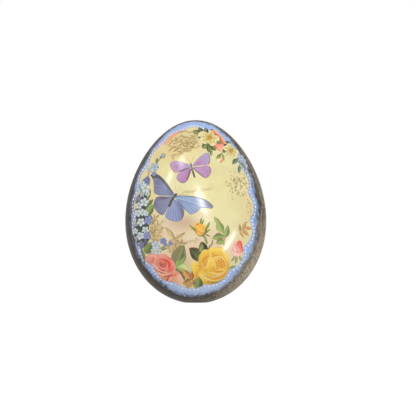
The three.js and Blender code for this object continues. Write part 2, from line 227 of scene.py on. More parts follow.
half_foot = calc(turning, "MULTIPLY", given["Foot Diameter"], 0.5)
foot = calc(turning, "DIVIDE", half_foot, girth_at(-1.0))
foot_angle = calc(turning, "MULTIPLY", calc(turning, "ARCCOSINE", foot), -1.0)
above = calc(turning, "DIVIDE", calc(turning, "SUBTRACT", share, given["Foot Share"]),
             calc(turning, "SUBTRACT", 1.0, given["Foot Share"]))
above = calc(turning, "MAXIMUM", above, 0.0)
left_over = calc(turning, "SUBTRACT", math.pi / 2, foot_angle)
angle = calc(turning, "ADD", foot_angle, calc(turning, "MULTIPLY", left_over, above))
t = calc(turning, "SINE", angle)
inside_foot = calc(turning, "MINIMUM", calc(turning, "DIVIDE", share, given["Foot Share"]), 1.0)
radius = calc(turning, "MULTIPLY", girth_at(t), calc(turning, "COSINE", angle))
radius = calc(turning, "MULTIPLY", radius, inside_foot)
turn = calc(turning, "MULTIPLY", calc(turning, "ADD", spot[0], 0.5), 2 * math.pi)
above_foot = calc(turning, "SUBTRACT", t, calc(turning, "SINE", foot_angle))
up = calc(turning, "MULTIPLY", half_length, above_foot)
bent = add_node(turning, "ShaderNodeCombineXYZ", {
    0: calc(turning, "MULTIPLY", radius, calc(turning, "COSINE", turn)),
    1: calc(turning, "MULTIPLY", radius, calc(turning, "SINE", turn)),
    2: up,
}).outputs[0]
shell = add_node(turning, "GeometryNodeSetPosition", {"Geometry": lattice, "Position": bent}).outputs[0]
seam = {"Geometry": shell, "Distance": 0.01 * MM}
shell = add_node(turning, "GeometryNodeMergeByDistance", seam).outputs[0]
shell = add_node(turning, "GeometryNodeSetShadeSmooth", {"Geometry": shell}).outputs[0]


def end_tree(tree, shape, material, out):
    """The last nodes of a geometry tree: its shape made real, in its material."""
    shape = add_node(tree, "GeometryNodeRealizeInstances", {"Geometry": shape}).outputs[0]
    shape = add_node(tree, "GeometryNodeSetMaterial", {"Geometry": shape, "Material": material}).outputs[0]
    tree.links.new(shape, out["Geometry"])


end_tree(turning, shell, egg_finish, out)


def put(name, data):
    """A new object of the scene."""
    made = bpy.data.objects.new(name, data)
    bpy.context.scene.collection.objects.link(made)
    return made


def grow(name, tree, start=None):
    """Runs a geometry tree on a mesh and keeps its result as a plain object."""
    seed = put(name + "_seed", start or bpy.data.meshes.new(name + "_start"))
    modifier = seed.modifiers.new(name, "NODES")
    modifier.node_group = tree
    seed.update_tag()
    ready = seed.evaluated_get(bpy.context.evaluated_depsgraph_get())
    mesh = bpy.data.meshes.new_from_object(ready)
    seed.modifiers.remove(modifier)
    bpy.data.objects.remove(seed)
    mesh.name = name
    return put(name, mesh)


egg = grow("turned_egg", turning)
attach(egg, "root")
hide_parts("egg_body")

# ---------------------------------------------------------------- the ground sheet
# A thin oval of cream paper pasted over the egg's front. Its print is warmer and pinker
# towards the foot, with soft shadows under the blue butterfly and between the flowers.
SCALLOPS = 16
SCALLOP_START = 0.43  # where the first point lies, as a share of one scallop
SCALLOP_RISE = 5.0
OVAL_CENTRE = np.array([-2.6, 5.6])
POINTS_OVAL = np.array([42.5, 61.0])  # half sizes of the oval through the scallops' points
GROUND_OVAL = np.array([50.5, 69.0])
FOOT_MARGIN = 6.0  # from the foot's rim up to the lowest paper
FOOT_SHARE = FOOT_DIAMETER / MID_DIAMETER / (1 + BLUNTNESS - TAPER)
LOWEST_PAPER = FOOT_MARGIN - HALF * math.acos(FOOT_SHARE)
LIFTS = {"ground": 0.08, 2: 0.22, 3: 0.3, 4: 0.38, 5: 0.44}  # of each layer's face above the wood
UNDERSIDES = {"ground": -0.08, "frame": -0.05, "cut_out": 0.02}  # of the sheets' backs, sunk a little


def girth(t):
    """The radius that the egg would have with no rounding, from -1 at its foot to 1 at its top."""
    return MID_DIAMETER / 2 * (1 - BLUNTNESS * t - TAPER * t * t)


def on_egg(sheet, lift=0.0):
    """Points of the flat sheet once it is laid on the egg, and the way they face."""
    u, v = sheet[:, 0] / (MID_DIAMETER / 2), sheet[:, 1] / HALF
    angle = np.maximum(np.hypot(u, v), 1e-9)
    shrink = np.sin(angle) / angle
    t = v * shrink
    g = girth(t)
    slope = MID_DIAMETER / 2 * (-BLUNTNESS - 2 * TAPER * t)
    facing = np.stack([u * shrink, -np.cos(angle), t], 1)
    point = np.stack([facing[:, 0] * g, facing[:, 1] * g, MIDDLE + HALF * t], 1)
    facing = np.stack([facing[:, 0] / g, facing[:, 1] / g, (t - (1 - t * t) * slope / g) / HALF], 1)
    facing /= np.linalg.norm(facing, axis=1, keepdims=True)
    return point + facing * np.reshape(lift, (-1, 1)), facing


def to_sheet(art):
    """Points of the artwork, given as it looks from the front, on the flat sheet."""
    art = np.reshape(np.array(art, float), (-1, 2))
    t = art[:, 1] / HALF
    u = art[:, 0] / girth(t)
    s = np.maximum(np.hypot(u, t), 1e-9)
    stretch = np.arcsin(np.minimum(s, 1)) / s
    return np.stack([MID_DIAMETER / 2 * u * stretch, HALF * t * stretch], 1)


def to_art(sheet):
    """Points of the flat sheet, as they look from the front once laid on the egg."""
    point, _ = on_egg(sheet)
    return np.stack([point[:, 0], point[:, 2] - MIDDLE], 1)


def heading(angle):
    """The unit direction at an angle, or at each of several."""
    return np.stack([np.cos(angle), np.sin(angle)], -1)


def run_of(line):
    """How far along a line each of its points lies."""
    return np.concatenate([[0], np.cumsum(np.hypot(*np.diff(line, axis=0).T))])


def walked(line, far):
    """The points that lie so far along a line."""
    return np.stack([np.interp(far, run_of(line), line[:, k]) for k in (0, 1)], -1)


def oval(half_sizes, shares):
    """Points spaced evenly along an oval round the sheet's centre."""
    line = half_sizes * heading(np.linspace(0, 2 * math.pi, 2001))
    return OVAL_CENTRE + walked(line, np.mod(shares, 1) * run_of(line)[-1])


def scallops(outset=0.0, steps=40, rounding=2):
    """The scalloped line, with its points a little rounded as scissors leave them."""
    corners = oval(POINTS_OVAL + outset, (np.arange(SCALLOPS + 1) + SCALLOP_START) / SCALLOPS)
    share = np.arange(steps)[:, None] / steps
    arcs = []
    for a, b in zip(corners[:-1], corners[1:]):
        outward = np.array([b[1] - a[1], a[0] - b[0]]) / np.hypot(*(b - a))
        arcs.append(a + (b - a) * share + outward * SCALLOP_RISE * 4 * share * (1 - share))
    line = np.concatenate(arcs)
    spread = range(-rounding, rounding + 1)
    return sum(np.roll(line, k, axis=0) for k in spread) / len(spread)


def smooth_path(points, closed=False, steps=5):
    """A smooth curve through a few points."""
    p = np.array(points, float)
    ends = (p[-1:], p[:2]) if closed else (2 * p[:1] - p[1:2], 2 * p[-1:] - p[-2:-1])
    p = np.concatenate([ends[0], p, ends[1]])
    share = np.arange(steps)[:, None] / steps
    runs = []
    for a, b, c, d in zip(p[:-3], p[1:-2], p[2:-1], p[3:]):
        bend = (2 * a - 5 * b + 4 * c - d) * share**2 + (3 * b - a - 3 * c + d) * share**3
        runs.append(b + ((c - a) * share + bend) / 2)
    return np.concatenate(runs if closed else runs + [p[-2:-1]])


def distance_to(places, line, closed=False):
    """How far each place is from a line, and how far along the line it is nearest."""
    line = np.concatenate([line, line[:1]]) if closed else line
    lengths = np.hypot(*np.diff(line, axis=0).T)
    total = max(lengths.sum(), 1e-9)
    best, along, run = np.full(len(places), 1e9), np.zeros(len(places)), 0.0
    for a, b, length in zip(line[:-1], line[1:], lengths):
        share = np.clip((places - a) @ (b - a) / max(length**2, 1e-12), 0, 1)
        away = np.hypot(*(places - a - share[:, None] * (b - a)).T)
        nearer = away < best
        best[nearer] = away[nearer]
        along[nearer] = ((run + share * length) / total)[nearer]
        run += length
    return best, along


def inside(places, outline):
    """Which places lie inside a closed outline."""
    odd = np.zeros(len(places), bool)
    x, y = places[:, 0], places[:, 1]
    for (x0, y0), (x1, y1) in zip(outline, np.roll(outline, -1, axis=0)):
        if y0 != y1:
            crosses = (y0 > y) != (y1 > y)
            odd ^= crosses & (x < x0 + (y - y0) * (x1 - x0) / (y1 - y0))
    return odd


def eased(share):
    """Goes smoothly from 0 to 1 with the share, and stays there beyond."""
    share = np.clip(share, 0, 1)
    return share * share * (3 - 2 * share)


def write(mesh, name, values, kind="FLOAT", key="value"):
    """Keeps a value for each point of a mesh."""
    held = mesh.attributes.new(name, kind, "POINT")
    held.data.foreach_set(key, np.asarray(values, np.float32).ravel())


class Print:
    """A sheet's printed colours, one for each point of its mesh."""

    def __init__(self, at, paper):
        self.at = at
        self.ink = np.tile(srgb(paper), (len(at), 1))

    def near(self, path, reach):
        """The points that may lie within reach of a path."""
        within = (self.at > path.min(0) - reach) & (self.at < path.max(0) + reach)
        return np.flatnonzero(np.all(within, axis=1))

    def cover(self, share, colour, spots=slice(None)):
        """Blends a colour into the print, by a share for each point."""
        colour = srgb(colour) if not isinstance(colour, np.ndarray) else colour
        self.ink[spots] += (colour - self.ink[spots]) * np.clip(share, 0, 1)[:, None]

    def wash(self, centre, size, colour, strength=1.0, turn=0.0, soft=1.0):
        """A soft oval of colour."""
        along = heading(math.radians(turn))
        across = np.array([-along[1], along[0]])
        off = self.at - np.array(centre, float)
        off = np.stack([off @ along, off @ across]) / np.broadcast_to(size, 2)[:, None]
        self.cover(strength * eased((1 - np.hypot(*off)) / soft), colour)

    def washes(self, table):
        """Several washes: (centre, size, colour, strength, and perhaps turn and softness) each."""
        for row in table:
            self.wash(*row)

    def line(self, points, width, colour, strength=1.0, soft=0.2, taper=0.6):
        """A brush stroke that narrows to its ends."""
        path = smooth_path(points)
        near = self.near(path, width / 2 + soft)
        away, along = distance_to(self.at[near], path)
        half = width / 2 * (1 - taper * np.abs(2 * along - 1) ** 2)
        self.cover(strength * eased((half + soft - away) / (2 * soft)), colour, near)

    def lines(self, table, *finish):
        """Several strokes: (points, width, colour, and perhaps strength, softness and taper) each."""
        for row in table:
            self.line(*row, *finish)

    def area(self, points, colour, strength=1.0, soft=0.2, to=None, fade=None, smooth=True):
        """A patch of colour, which may run into a second one between two points."""
        outline = smooth_path(points, True) if smooth else np.array(points, float)
        near = self.near(outline, 2 * soft)
        away, _ = distance_to(self.at[near], outline, True)
        depth = np.where(inside(self.at[near], outline), away, -away)
        colour = srgb(colour)
        if to is not None:
            start, end = np.array(fade, float)
            run = eased((self.at[near] - start) @ (end - start) / ((end - start) @ (end - start)))
            colour = colour + (srgb(to) - colour) * run[:, None]
        self.cover(strength * eased((depth + soft) / (2 * soft)), colour, near)

    def print_on(self, sheet):
        """Writes the colours to the sheet's mesh. The points of its back take their mean."""
        full = np.ones((len(sheet.data.vertices), 4))
        full[:, :3] = self.ink.mean(0)
        full[: len(self.ink), :3] = self.ink
        write(sheet.data, "ink", full, "FLOAT_COLOR", "color")


# Every print is fine stipple on soft paper, and a little yellowed in patches.
stipple, given, out = node_group(
    "ShaderNodeTree", "print_stipple",
    {"Ink": ("Color", srgb((230, 220, 170))), "Dot Scale": ("Float", 1500.0),
     "Strength": ("Float", 0.12), "Ageing": ("Float", 0.08)},
    {"Colour": "Color", "Height": "Float"},
)
place = add_node(stipple, "ShaderNodeTexCoord").outputs["Object"]
dots = noise(stipple, place, given["Dot Scale"], 2.0, 0.6)
fibre = noise(stipple, stretched(stipple, place, (1.0, 1.0, 2.2)), 520.0, 4.0, 0.65, 0.8)
patchy = noise(stipple, place, 75.0, 3.0, 0.6)
tone = calc(stipple, "ADD", calc(stipple, "MULTIPLY", dots, 0.6), calc(stipple, "MULTIPLY", fibre, 0.4))
tone = calc(stipple, "MULTIPLY", calc(stipple, "SUBTRACT", tone, 0.5), given["Strength"])
tone = calc(stipple, "MULTIPLY_ADD", tone, 4.0, 1.0)
tone = add_node(stipple, "ShaderNodeCombineColor", {0: tone, 1: tone, 2: tone}).outputs[0]
inked = blend_colour(stipple, 1.0, given["Ink"], tone, "MULTIPLY")
aged = calc(stipple, "MULTIPLY", ramp(stipple, patchy, 0.42, 0.66), given["Ageing"])
inked = blend_colour(stipple, aged, inked, srgb((205, 160, 105)))
stipple.links.new(inked, out["Colour"])
stipple.links.new(fibre, out["Height"])


def printed_paper(name, stipple_strength=0.1, ageing=0.05, relief=0.25):
    """Printed paper under the lacquer, in the colours of the sheet's own print."""
    material, tree, shader = lacquered(name)
    ink = add_node(tree, "ShaderNodeAttribute", attribute_name="ink").outputs["Color"]
    print_ = use_group(tree, stipple, {"Ink": ink, "Strength": stipple_strength, "Ageing": ageing})
    tree.links.new(print_["Colour"], shader.inputs["Base Color"])
    tree.links.new(bump(tree, print_["Height"], relief, 0.0001), shader.inputs["Normal"])
    return material, tree, shader, print_


def make_sheet(name, points, faces, material, replaces=()):
    """A piece of paper or ink on the egg, from its points in millimetres."""
    mesh = bpy.data.meshes.new(name)
    mesh.from_pydata((np.asarray(points) * MM).tolist(), [], [list(map(int, f)) for f in faces])
    mesh.polygons.foreach_set("use_smooth", [True] * len(mesh.polygons))
    mesh.materials.append(material)
    sheet = put(name, mesh)
    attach(sheet, "root")
    if replaces:
        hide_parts(*replaces)
    return sheet


def ring_faces(rings, steps):
    """The faces between rings of points, each ring with so many steps."""
    faces = []
    for j in range(rings):
        for i in range(steps):
            a, b = j * steps + i, j * steps + (i + 1) % steps
            faces.append((a, a + steps, b + steps, b))
    return faces


GROUND_RINGS, GROUND_TURN = 120, 576
edge = oval(GROUND_OVAL, np.arange(GROUND_TURN) / GROUND_TURN)
edge[:, 1] = np.maximum(edge[:, 1], LOWEST_PAPER)
steps = np.arange(1, GROUND_RINGS + 1) / GROUND_RINGS
flat = np.concatenate([(OVAL_CENTRE + (edge - OVAL_CENTRE) * s) for s in steps] + [OVAL_CENTRE[None]])
face_points, _ = on_egg(flat, LIFTS["ground"])
under_points, _ = on_egg(np.concatenate([edge, OVAL_CENTRE[None]]), UNDERSIDES["ground"])
count, last = len(flat), (GROUND_RINGS - 1) * GROUND_TURN
faces = ring_faces(GROUND_RINGS - 1, GROUND_TURN)
for i in range(GROUND_TURN):
    k = (i + 1) % GROUND_TURN
    a, b = count + i, count + k
    faces += [(count - 1, i, k), (last + i, a, b, last + k), (count + GROUND_TURN, b, a)]
ground_paper, *_ = printed_paper("ground_paper", 0.07, 0.16)
both_sides = np.concatenate([face_points, under_points])
ground_sheet = make_sheet("ground_paper", both_sides, faces, ground_paper, ["ground_sheet"])

ground = Print(to_art(flat), (229, 221, 170))
ground.washes([
    ((14, 12), (26, 34), (228, 220, 163), 1.0), ((-16, 40), (26, 24), (234, 212, 152), 0.9),
    ((2, 56), (22, 8), (236, 212, 152), 0.9), ((-30, 14), (12, 34), (235, 210, 155), 0.8),
    ((-20, 30), (7, 7), (230, 226, 160), 0.8), ((-5, -22), (46, 24), (230, 211, 178), 0.9),
    ((-4, -28), (40, 22), (226, 206, 176), 0.7), ((36, 10), (8, 40), (234, 212, 158), 0.8),
    ((14, -18), (22, 10), (234, 212, 180), 0.7), ((-14, -9), (20, 11), (226, 204, 176), 0.8),
    ((-8, -6.5), (17, 8), (200, 170, 146), 0.85, -8), ((4, -1), (9, 5), (206, 178, 150), 0.6, -20),
    ((28, -24), (7, 16), (234, 212, 158), 0.8), ((-7, 46), (14, 9), (214, 186, 130), 0.5),
    ((-1, 47), (5, 4), (176, 148, 100), 0.45), ((-25, -13), (6, 11), (212, 182, 130), 0.5),
    ((-12, -22), (8, 9), (216, 188, 138), 0.5), ((-8, -33), (9, 9), (190, 160, 120), 0.4)])
ground.lines([
    ([(-9, -48.6), (-4, -50.4), (2, -50.6), (6, -49)], 1.6, (74, 84, 50), 0.9, 0.5),
    ([(12, -45.4), (17, -44), (19.6, -41.6)], 1.6, (104, 108, 56), 0.8, 0.5),
    ([(21.4, -37.4), (24, -35.6), (27, -36)], 1.7, (132, 148, 88), 0.9, 0.4),
    ([(-20, -45.4), (-17, -46.8), (-14, -47.4)], 1.5, (92, 104, 56), 0.85, 0.4),
    ([(-34.4, -25), (-33, -30), (-30.6, -34.4)], 2.2, (104, 112, 72), 0.8, 0.5)])
ground.print_on(ground_sheet)

# ---------------------------------------------------------------- the scalloped frame
# A ring of sky-blue paper with a scalloped opening, cut with fancy scissors and pasted
# over the ground. The bronze paint is brushed over its outer edge, so the blue fades out.
FRAME_OVAL = np.array([58.0, 80.0])
FADE_CENTRE = np.array([-1.8, 7.3])
FADE_OVAL = np.array([50.4, 75.8])
FRAME_LIFT = 0.16
FRAME_RINGS = 36

scallop_line = scallops()
FRAME_TURN = len(scallop_line)
outer = oval(FRAME_OVAL, (np.arange(FRAME_TURN) / FRAME_TURN + SCALLOP_START / SCALLOPS))
outer[:, 1] = np.maximum(outer[:, 1], LOWEST_PAPER)
steps = np.linspace(0, 1, FRAME_RINGS + 1)
flat = np.concatenate([scallop_line + (outer - scallop_line) * s for s in steps])
lift = np.repeat(FRAME_LIFT * (1 - 0.72 * eased((steps - 0.45) / 0.5)), FRAME_TURN)
face_points, _ = on_egg(flat, lift)
under_points, _ = on_egg(np.concatenate([scallop_line, outer]), UNDERSIDES["frame"])
count, last = len(flat), FRAME_RINGS * FRAME_TURN
faces = ring_faces(FRAME_RINGS, FRAME_TURN)
for i in range(FRAME_TURN):
    k = (i + 1) % FRAME_TURN
    a, b = count + i, count + k
    c, d = a + FRAME_TURN, b + FRAME_TURN
    faces += [(a, i, k, b), (last + i, c, d, last + k), (b, d, c, a)]

frame_paper, tree, shader, frame_print = printed_paper("frame_paper", 0.09, 0.03)
both_sides = np.concatenate([face_points, under_points])
frame_sheet = make_sheet("frame_paper", both_sides, faces, frame_paper, ["scallop_frame"])
blue = Print(to_art(flat), (158, 186, 234))
# Painted shade and light: the blue is duller down the left side and brighter along the bottom.
blue.washes([
    ((-46, 8), (22, 60), (150, 164, 200), 1.0), ((-26, 44), (16, 14), (158, 170, 214), 0.8, 40),
    ((-22, 43), 3.2, (203, 176, 214), 0.9), ((-8, 53.5), (3.6, 2.2), (203, 180, 218), 0.9, 20),
    ((-34, 14), (3, 10), (168, 172, 205), 0.6), ((36, 0), (8, 46), (146, 178, 232), 0.9),
    ((2, -50), (36, 12), (190, 214, 252), 0.95)])
blue.line([(26, 36), (29, 32), (33, 25), (35, 19)], 5, (165, 180, 190), 0.7, soft=1.5)
blue.wash((-36, -30), (12, 20), (170, 180, 216), 0.7)
blue.print_on(frame_sheet)

# How far each point lies outside the line along which the bronze begins, in millimetres.
off = (flat - FADE_CENTRE) / FADE_OVAL
reach = np.hypot(*off.T)
beyond = (reach - 1) * np.hypot(*(off * FADE_OVAL).T) / np.maximum(reach, 1e-9)
full = np.full(len(both_sides), 5.0)
full[: len(beyond)] = beyond
write(frame_sheet.data, "painted_over", full)
beyond = add_node(tree, "ShaderNodeAttribute", attribute_name="painted_over").outputs["Fac"]
place = add_node(tree, "ShaderNodeTexCoord").outputs["Object"]
brush = noise(tree, stretched(tree, place, (1.5, 1.0, 0.5), (0.0, 0.3, 0.0)), 330.0, 5.0, 0.72, 0.4)
drift = noise(tree, place, 60.0, 2.0, 0.5)
ragged = calc(tree, "MULTIPLY_ADD", calc(tree, "SUBTRACT", brush, 0.5), 19.0, beyond)
ragged = calc(tree, "MULTIPLY_ADD", calc(tree, "SUBTRACT", drift, 0.5), 8.0, ragged)
over = ramp(tree, ragged, -4.4, 3.4)
paint = use_group(tree, sponged)
dirt = calc(tree, "MULTIPLY", ramp(tree, ragged, -5.0, 0.5), 0.22)
blue_ink = blend_colour(tree, dirt, frame_print["Colour"], srgb((120, 126, 150)))
ebbing = calc(tree, "SUBTRACT", 1.0, ramp(tree, ragged, 2.0, 7.0))
bristle = calc(tree, "MULTIPLY", ramp(tree, ragged, -2.0, 1.5), ebbing)
brushed = blend_colour(tree, calc(tree, "MULTIPLY", bristle, 0.5), paint["Colour"], srgb((34, 29, 28)))
tree.links.new(blend_colour(tree, over, blue_ink, brushed), shader.inputs["Base Color"])
height = calc(tree, "MULTIPLY", paint["Height"], over)
tree.links.new(bump(tree, height, 0.5, 0.0002), shader.inputs["Normal"])
gloss = calc(tree, "MULTIPLY_ADD", over, PAINT_GLOSS - PAPER_GLOSS, PAPER_GLOSS)
tree.links.new(gloss, shader.inputs["Coat Weight"])

# ---------------------------------------------------------------- the pearl border
# A row of small pearls follows the scallops, one on each point and seven along each arc.
# They are drops of thick pearl paint touched on to the blue, some of them rubbed dull.
PEARL_OUTSET = 2.1
PEARLS_PER_SCALLOP = 8

pearl_paint, tree, shader = lacquered("pearl_paint")
dull = add_node(tree, "ShaderNodeAttribute", attribute_name="rubbed").outputs["Fac"]
place = add_node(tree, "ShaderNodeTexCoord").outputs["Object"]
colour = blend_colour(tree, ramp(tree, dull, 0.3, 1.0), srgb((242, 240, 242)), srgb((222, 214, 208)))
cloud = noise(tree, place, 1800.0, 2.0)
colour = blend_colour(tree, calc(tree, "MULTIPLY", cloud, 0.15), colour, srgb((180, 190, 225)))
tree.links.new(colour, shader.inputs["Base Color"])

beading, given, out = node_group(
    "GeometryNodeTree", "pearl_beading",
    {"Path": ("Geometry", None), "Pearl Radius": ("Float", 0.82 * MM),
     "Dome Height": ("Float", 0.16 * MM), "Seed": ("Int", 7)},
    {"Geometry": "Geometry"},
)


def named(tree, name):
    """A direction that each point of the path carries."""
    inputs = {"Name": name}
    return add_node(tree, "GeometryNodeInputNamedAttribute", inputs, data_type="FLOAT_VECTOR").outputs[0]


def chance(tree, low, high, seed):
    inputs = {2: low, 3: high, "Seed": seed}
    return add_node(tree, "FunctionNodeRandomValue", inputs, data_type="FLOAT").outputs[1]


def copies(tree, places, shape, rotation, scale, note, value):
    """A copy of the shape on each point, with a number of its own noted on it."""
    inputs = {"Points": places, "Instance": shape, "Rotation": rotation, "Scale": scale}
    made = add_node(tree, "GeometryNodeInstanceOnPoints", inputs).outputs[0]
    inputs = {"Geometry": made, "Name": note, "Value": value}
    kind = {"data_type": "FLOAT", "domain": "INSTANCE"}
    return add_node(tree, "GeometryNodeStoreNamedAttribute", inputs, **kind).outputs[0]


drop = {"Segments": 10, "Rings": 6, "Radius": 1.0}
pearl = add_node(beading, "GeometryNodeMeshUVSphere", drop).outputs["Mesh"]
pearl = add_node(beading, "GeometryNodeSetShadeSmooth", {"Geometry": pearl}).outputs[0]
outward = {"Vector": named(beading, "outward")}
upright = add_node(beading, "FunctionNodeAlignRotationToVector", outward, axis="Z").outputs[0]
size = chance(beading, 0.92, 1.08, given["Seed"])
wide = calc(beading, "MULTIPLY", given["Pearl Radius"], size)
dome = add_node(beading, "ShaderNodeCombineXYZ", {0: wide, 1: wide, 2: given["Dome Height"]}).outputs[0]
drops = copies(beading, given["Path"], pearl, upright, dome, "rubbed", chance(beading, 0.0, 1.0, 3))
end_tree(beading, drops, pearl_paint, out)


def points_mesh(name, flat, lift, **ways):
    """Loose points on the egg, each with the way it faces and any other directions."""
    places, facing = on_egg(flat, lift)
    mesh = bpy.data.meshes.new(name)
    mesh.from_pydata((places * MM).tolist(), [], [])
    for way, values in {"outward": facing, **ways}.items():
        write(mesh, way, values, "FLOAT_VECTOR", "vector")
    return mesh


pearl_line = scallops(PEARL_OUTSET)
pearl_line = np.concatenate([pearl_line, pearl_line[:1]])
pearl_shares = np.arange(SCALLOPS * PEARLS_PER_SCALLOP) / (SCALLOPS * PEARLS_PER_SCALLOP)
pearl_spots = walked(pearl_line, pearl_shares * run_of(pearl_line)[-1])
pearls = grow("pearl_border", beading, points_mesh("pearl_spots", pearl_spots, FRAME_LIFT))
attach(pearls, "root")

# ---------------------------------------------------------------- the sepia engraving
# Old engraved foliage is printed on the cream in sepia line, with loose pen waves beside
# it and a cloud of tiny buds near the right edge. It is ink only, so it lies quite flat.
ENGRAVING_LIFT = 0.1

sepia_ink, tree, shader = lacquered("sepia_ink")
depth = add_node(tree, "ShaderNodeAttribute", attribute_name="ink_depth").outputs["Fac"]
place = add_node(tree, "ShaderNodeTexCoord").outputs["Object"]
wear = noise(tree, place, 900.0, 3.0, 0.6)
depth = calc(tree, "MULTIPLY_ADD", calc(tree, "SUBTRACT", wear, 0.5), 1.2, depth)
colour = blend_colour(tree, ramp(tree, depth, 0.0, 1.0), srgb((216, 192, 140)), srgb((168, 138, 88)))
tree.links.new(colour, shader.inputs["Base Color"])

engraver, given, out = node_group(
    "GeometryNodeTree", "engraved_leaves",
    {"Leaf Places": ("Geometry", None), "Fullness": ("Float", 0.2), "Line Width": ("Float", 0.085),
     "Length Steps": ("Int", 8), "Seed": ("Int", 5)},
    {"Geometry": "Geometry"},
)
rows = calc(engraver, "ADD", given["Length Steps"], 1)
sizes = {"Size X": 1.0, "Size Y": 1.0, "Vertices X": 2, "Vertices Y": rows}
strip = add_node(engraver, "GeometryNodeMeshGrid", sizes).outputs["Mesh"]
position = add_node(engraver, "GeometryNodeInputPosition").outputs[0]
spot = add_node(engraver, "ShaderNodeSeparateXYZ", {0: position}).outputs
along = calc(engraver, "ADD", spot[1], 0.5)
swell = calc(engraver, "SINE", calc(engraver, "MULTIPLY", calc(engraver, "POWER", along, 0.85), math.pi))
line = calc(engraver, "MULTIPLY", spot[0], given["Line Width"])
strips = []
for bow in (-1.0, 1.0, 0.0, 0.45):
    side = calc(engraver, "MULTIPLY", calc(engraver, "MULTIPLY", swell, given["Fullness"]), bow)
    bent = add_node(engraver, "ShaderNodeCombineXYZ",
        {0: calc(engraver, "ADD", line, side), 1: along}).outputs[0]
    strips.append(add_node(engraver, "GeometryNodeSetPosition",
        {"Geometry": strip, "Position": bent}).outputs[0])
one_leaf = add_node(engraver, "GeometryNodeJoinGeometry")
for bent in strips:
    engraver.links.new(bent, one_leaf.inputs[0])
facing = add_node(engraver, "FunctionNodeAxesToRotation", {
    "Primary Axis": named(engraver, "outward"), "Secondary Axis": named(engraver, "growing"),
}, primary_axis="Z", secondary_axis="Y").outputs[0]
laid = copies(engraver, given["Leaf Places"], one_leaf.outputs[0], facing, named(engraver, "leaf_size"),
              "ink_depth", chance(engraver, 0.2, 0.9, given["Seed"]))
end_tree(engraver, laid, sepia_ink, out)

luck = np.random.default_rng(11)
# The engraved sprays: stem, leaf length, spacing.
SPRAYS = [
    ([(2, 44.6), (-4, 44), (-9, 45), (-14, 46.4), (-18, 46.4)], 2.9, 1.7),
    ([(3, 50.4), (-3, 48), (-11, 49)], 2.8, 1.8),
    ([(-1, 42), (-6, 40.8), (-12, 41.4), (-17.5, 42.4)], 3.0, 1.8),
    ([(-5, 39.8), (-10, 38.2), (-15.5, 35.4)], 2.8, 1.8),
    ([(3, 42.3), (-2, 41.2), (-5.4, 38.2)], 1.8, 1.8),
    ([(3, 50), (-2, 51.4), (-8, 52.6)], 2.2, 1.9),
    ([(-26, -21), (-27, -14), (-28, -8), (-25.6, -3.6)], 2.9, 1.2),
    ([(-27, -12), (-24.5, -8.6), (-22, -7.6)], 2.3, 1.2),
    ([(-26, -18), (-23.4, -14), (-22.6, -11)], 2.4, 1.2),
    ([(-15.4, -30), (-12.8, -24), (-13.4, -18)], 2.8, 1.4),
    ([(-13, -23), (-9.6, -21), (-8.2, -19.6)], 2.4, 1.2),
    ([(-14, -27), (-17.6, -23.6), (-18.6, -20.6)], 2.4, 1.3),
]
spots, ways, sizes = [], [], []


def engrave(spot, way, width, length):
    """Notes where an engraved leaf grows, which way, and how large it is."""
    spots.append(spot)
    ways.append((way[0], 0.0, way[1]))
    sizes.append((width, length, 1.0))


for path, leaf_length, gap in SPRAYS:
    path = smooth_path(path, steps=8)
    for k, far in enumerate(np.arange(0.3, run_of(path)[-1], gap * 1.05)):
        at = walked(path, far)
        ahead = walked(path, far + 0.2) - at
        turn = math.atan2(ahead[1], ahead[0]) + (1 if k % 2 else -1) * luck.uniform(0.5, 1.05)
        long = leaf_length * luck.uniform(1.1, 1.6)
        engrave(at, heading(turn), long * 0.9, long)
FAN_BASE = np.array([-13.4, -17.4])
for tip, wide in (
    ((-19.6, -10), 1.5), ((-16.2, -11.4), 0.7), ((-6.2, -13), 1.3), ((-8.4, -20.6), 1.0),
    ((-18, -19.6), 1.0),
):
    way = np.array(tip) - FAN_BASE
    engrave(FAN_BASE, way, np.hypot(*way) * wide * 0.42, np.hypot(*way))
# Two clouds of tiny buds.
for centre, spread, count, turns, wide, lengths in (
    ((28.0, 18.0), (3.4, 4.6), 100, (0, 2 * math.pi), 2.6, (0.7, 1.5)),
    ((35.4, 2.0), (1.5, 5.5), 60, (-0.8, -0.2), 2.0, (0.6, 1.2)),
):
    for _ in range(count):
        at = np.array(centre) + luck.normal(0, 1, 2) * spread
        way = heading(luck.uniform(*turns))
        engrave(at, way, wide, luck.uniform(*lengths))
sizes = np.array(sizes) * MM
leaf_spots = points_mesh("leaf_spots", to_sheet(spots), ENGRAVING_LIFT, growing=ways, leaf_size=sizes)
engraving = grow("sepia_engraving", engraver, leaf_spots)
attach(engraving, "root")


def square_to(ways):
    """The unit directions square to some directions, to their left."""
    ways = np.asarray(ways, float)
    length = np.maximum(np.hypot(ways[..., 0], ways[..., 1]), 1e-9)
    return np.stack([-ways[..., 1], ways[..., 0]], -1) / length[..., None]


def pen_lines(name, lines, lift, depth):
    """Thin inked lines: (points, width) each, narrowing to both ends."""
    points, faces = [], []
    for path, width in lines:
        path = smooth_path(path, steps=6)
        across = square_to(np.gradient(path, axis=0))
        half = width / 2 * (1 - 0.7 * np.abs(np.linspace(-1, 1, len(path))) ** 3)[:, None]
        start = len(points)
        for pair in zip(path - across * half, path + across * half):
            points += pair
        for a in range(start, start + 2 * len(path) - 2, 2):
            faces.append((a, a + 2, a + 3, a + 1))
    places, _ = on_egg(to_sheet(points), lift)
    inked = make_sheet(name, places, faces, sepia_ink)
    write(inked.data, "ink_depth", np.full(len(places), depth))


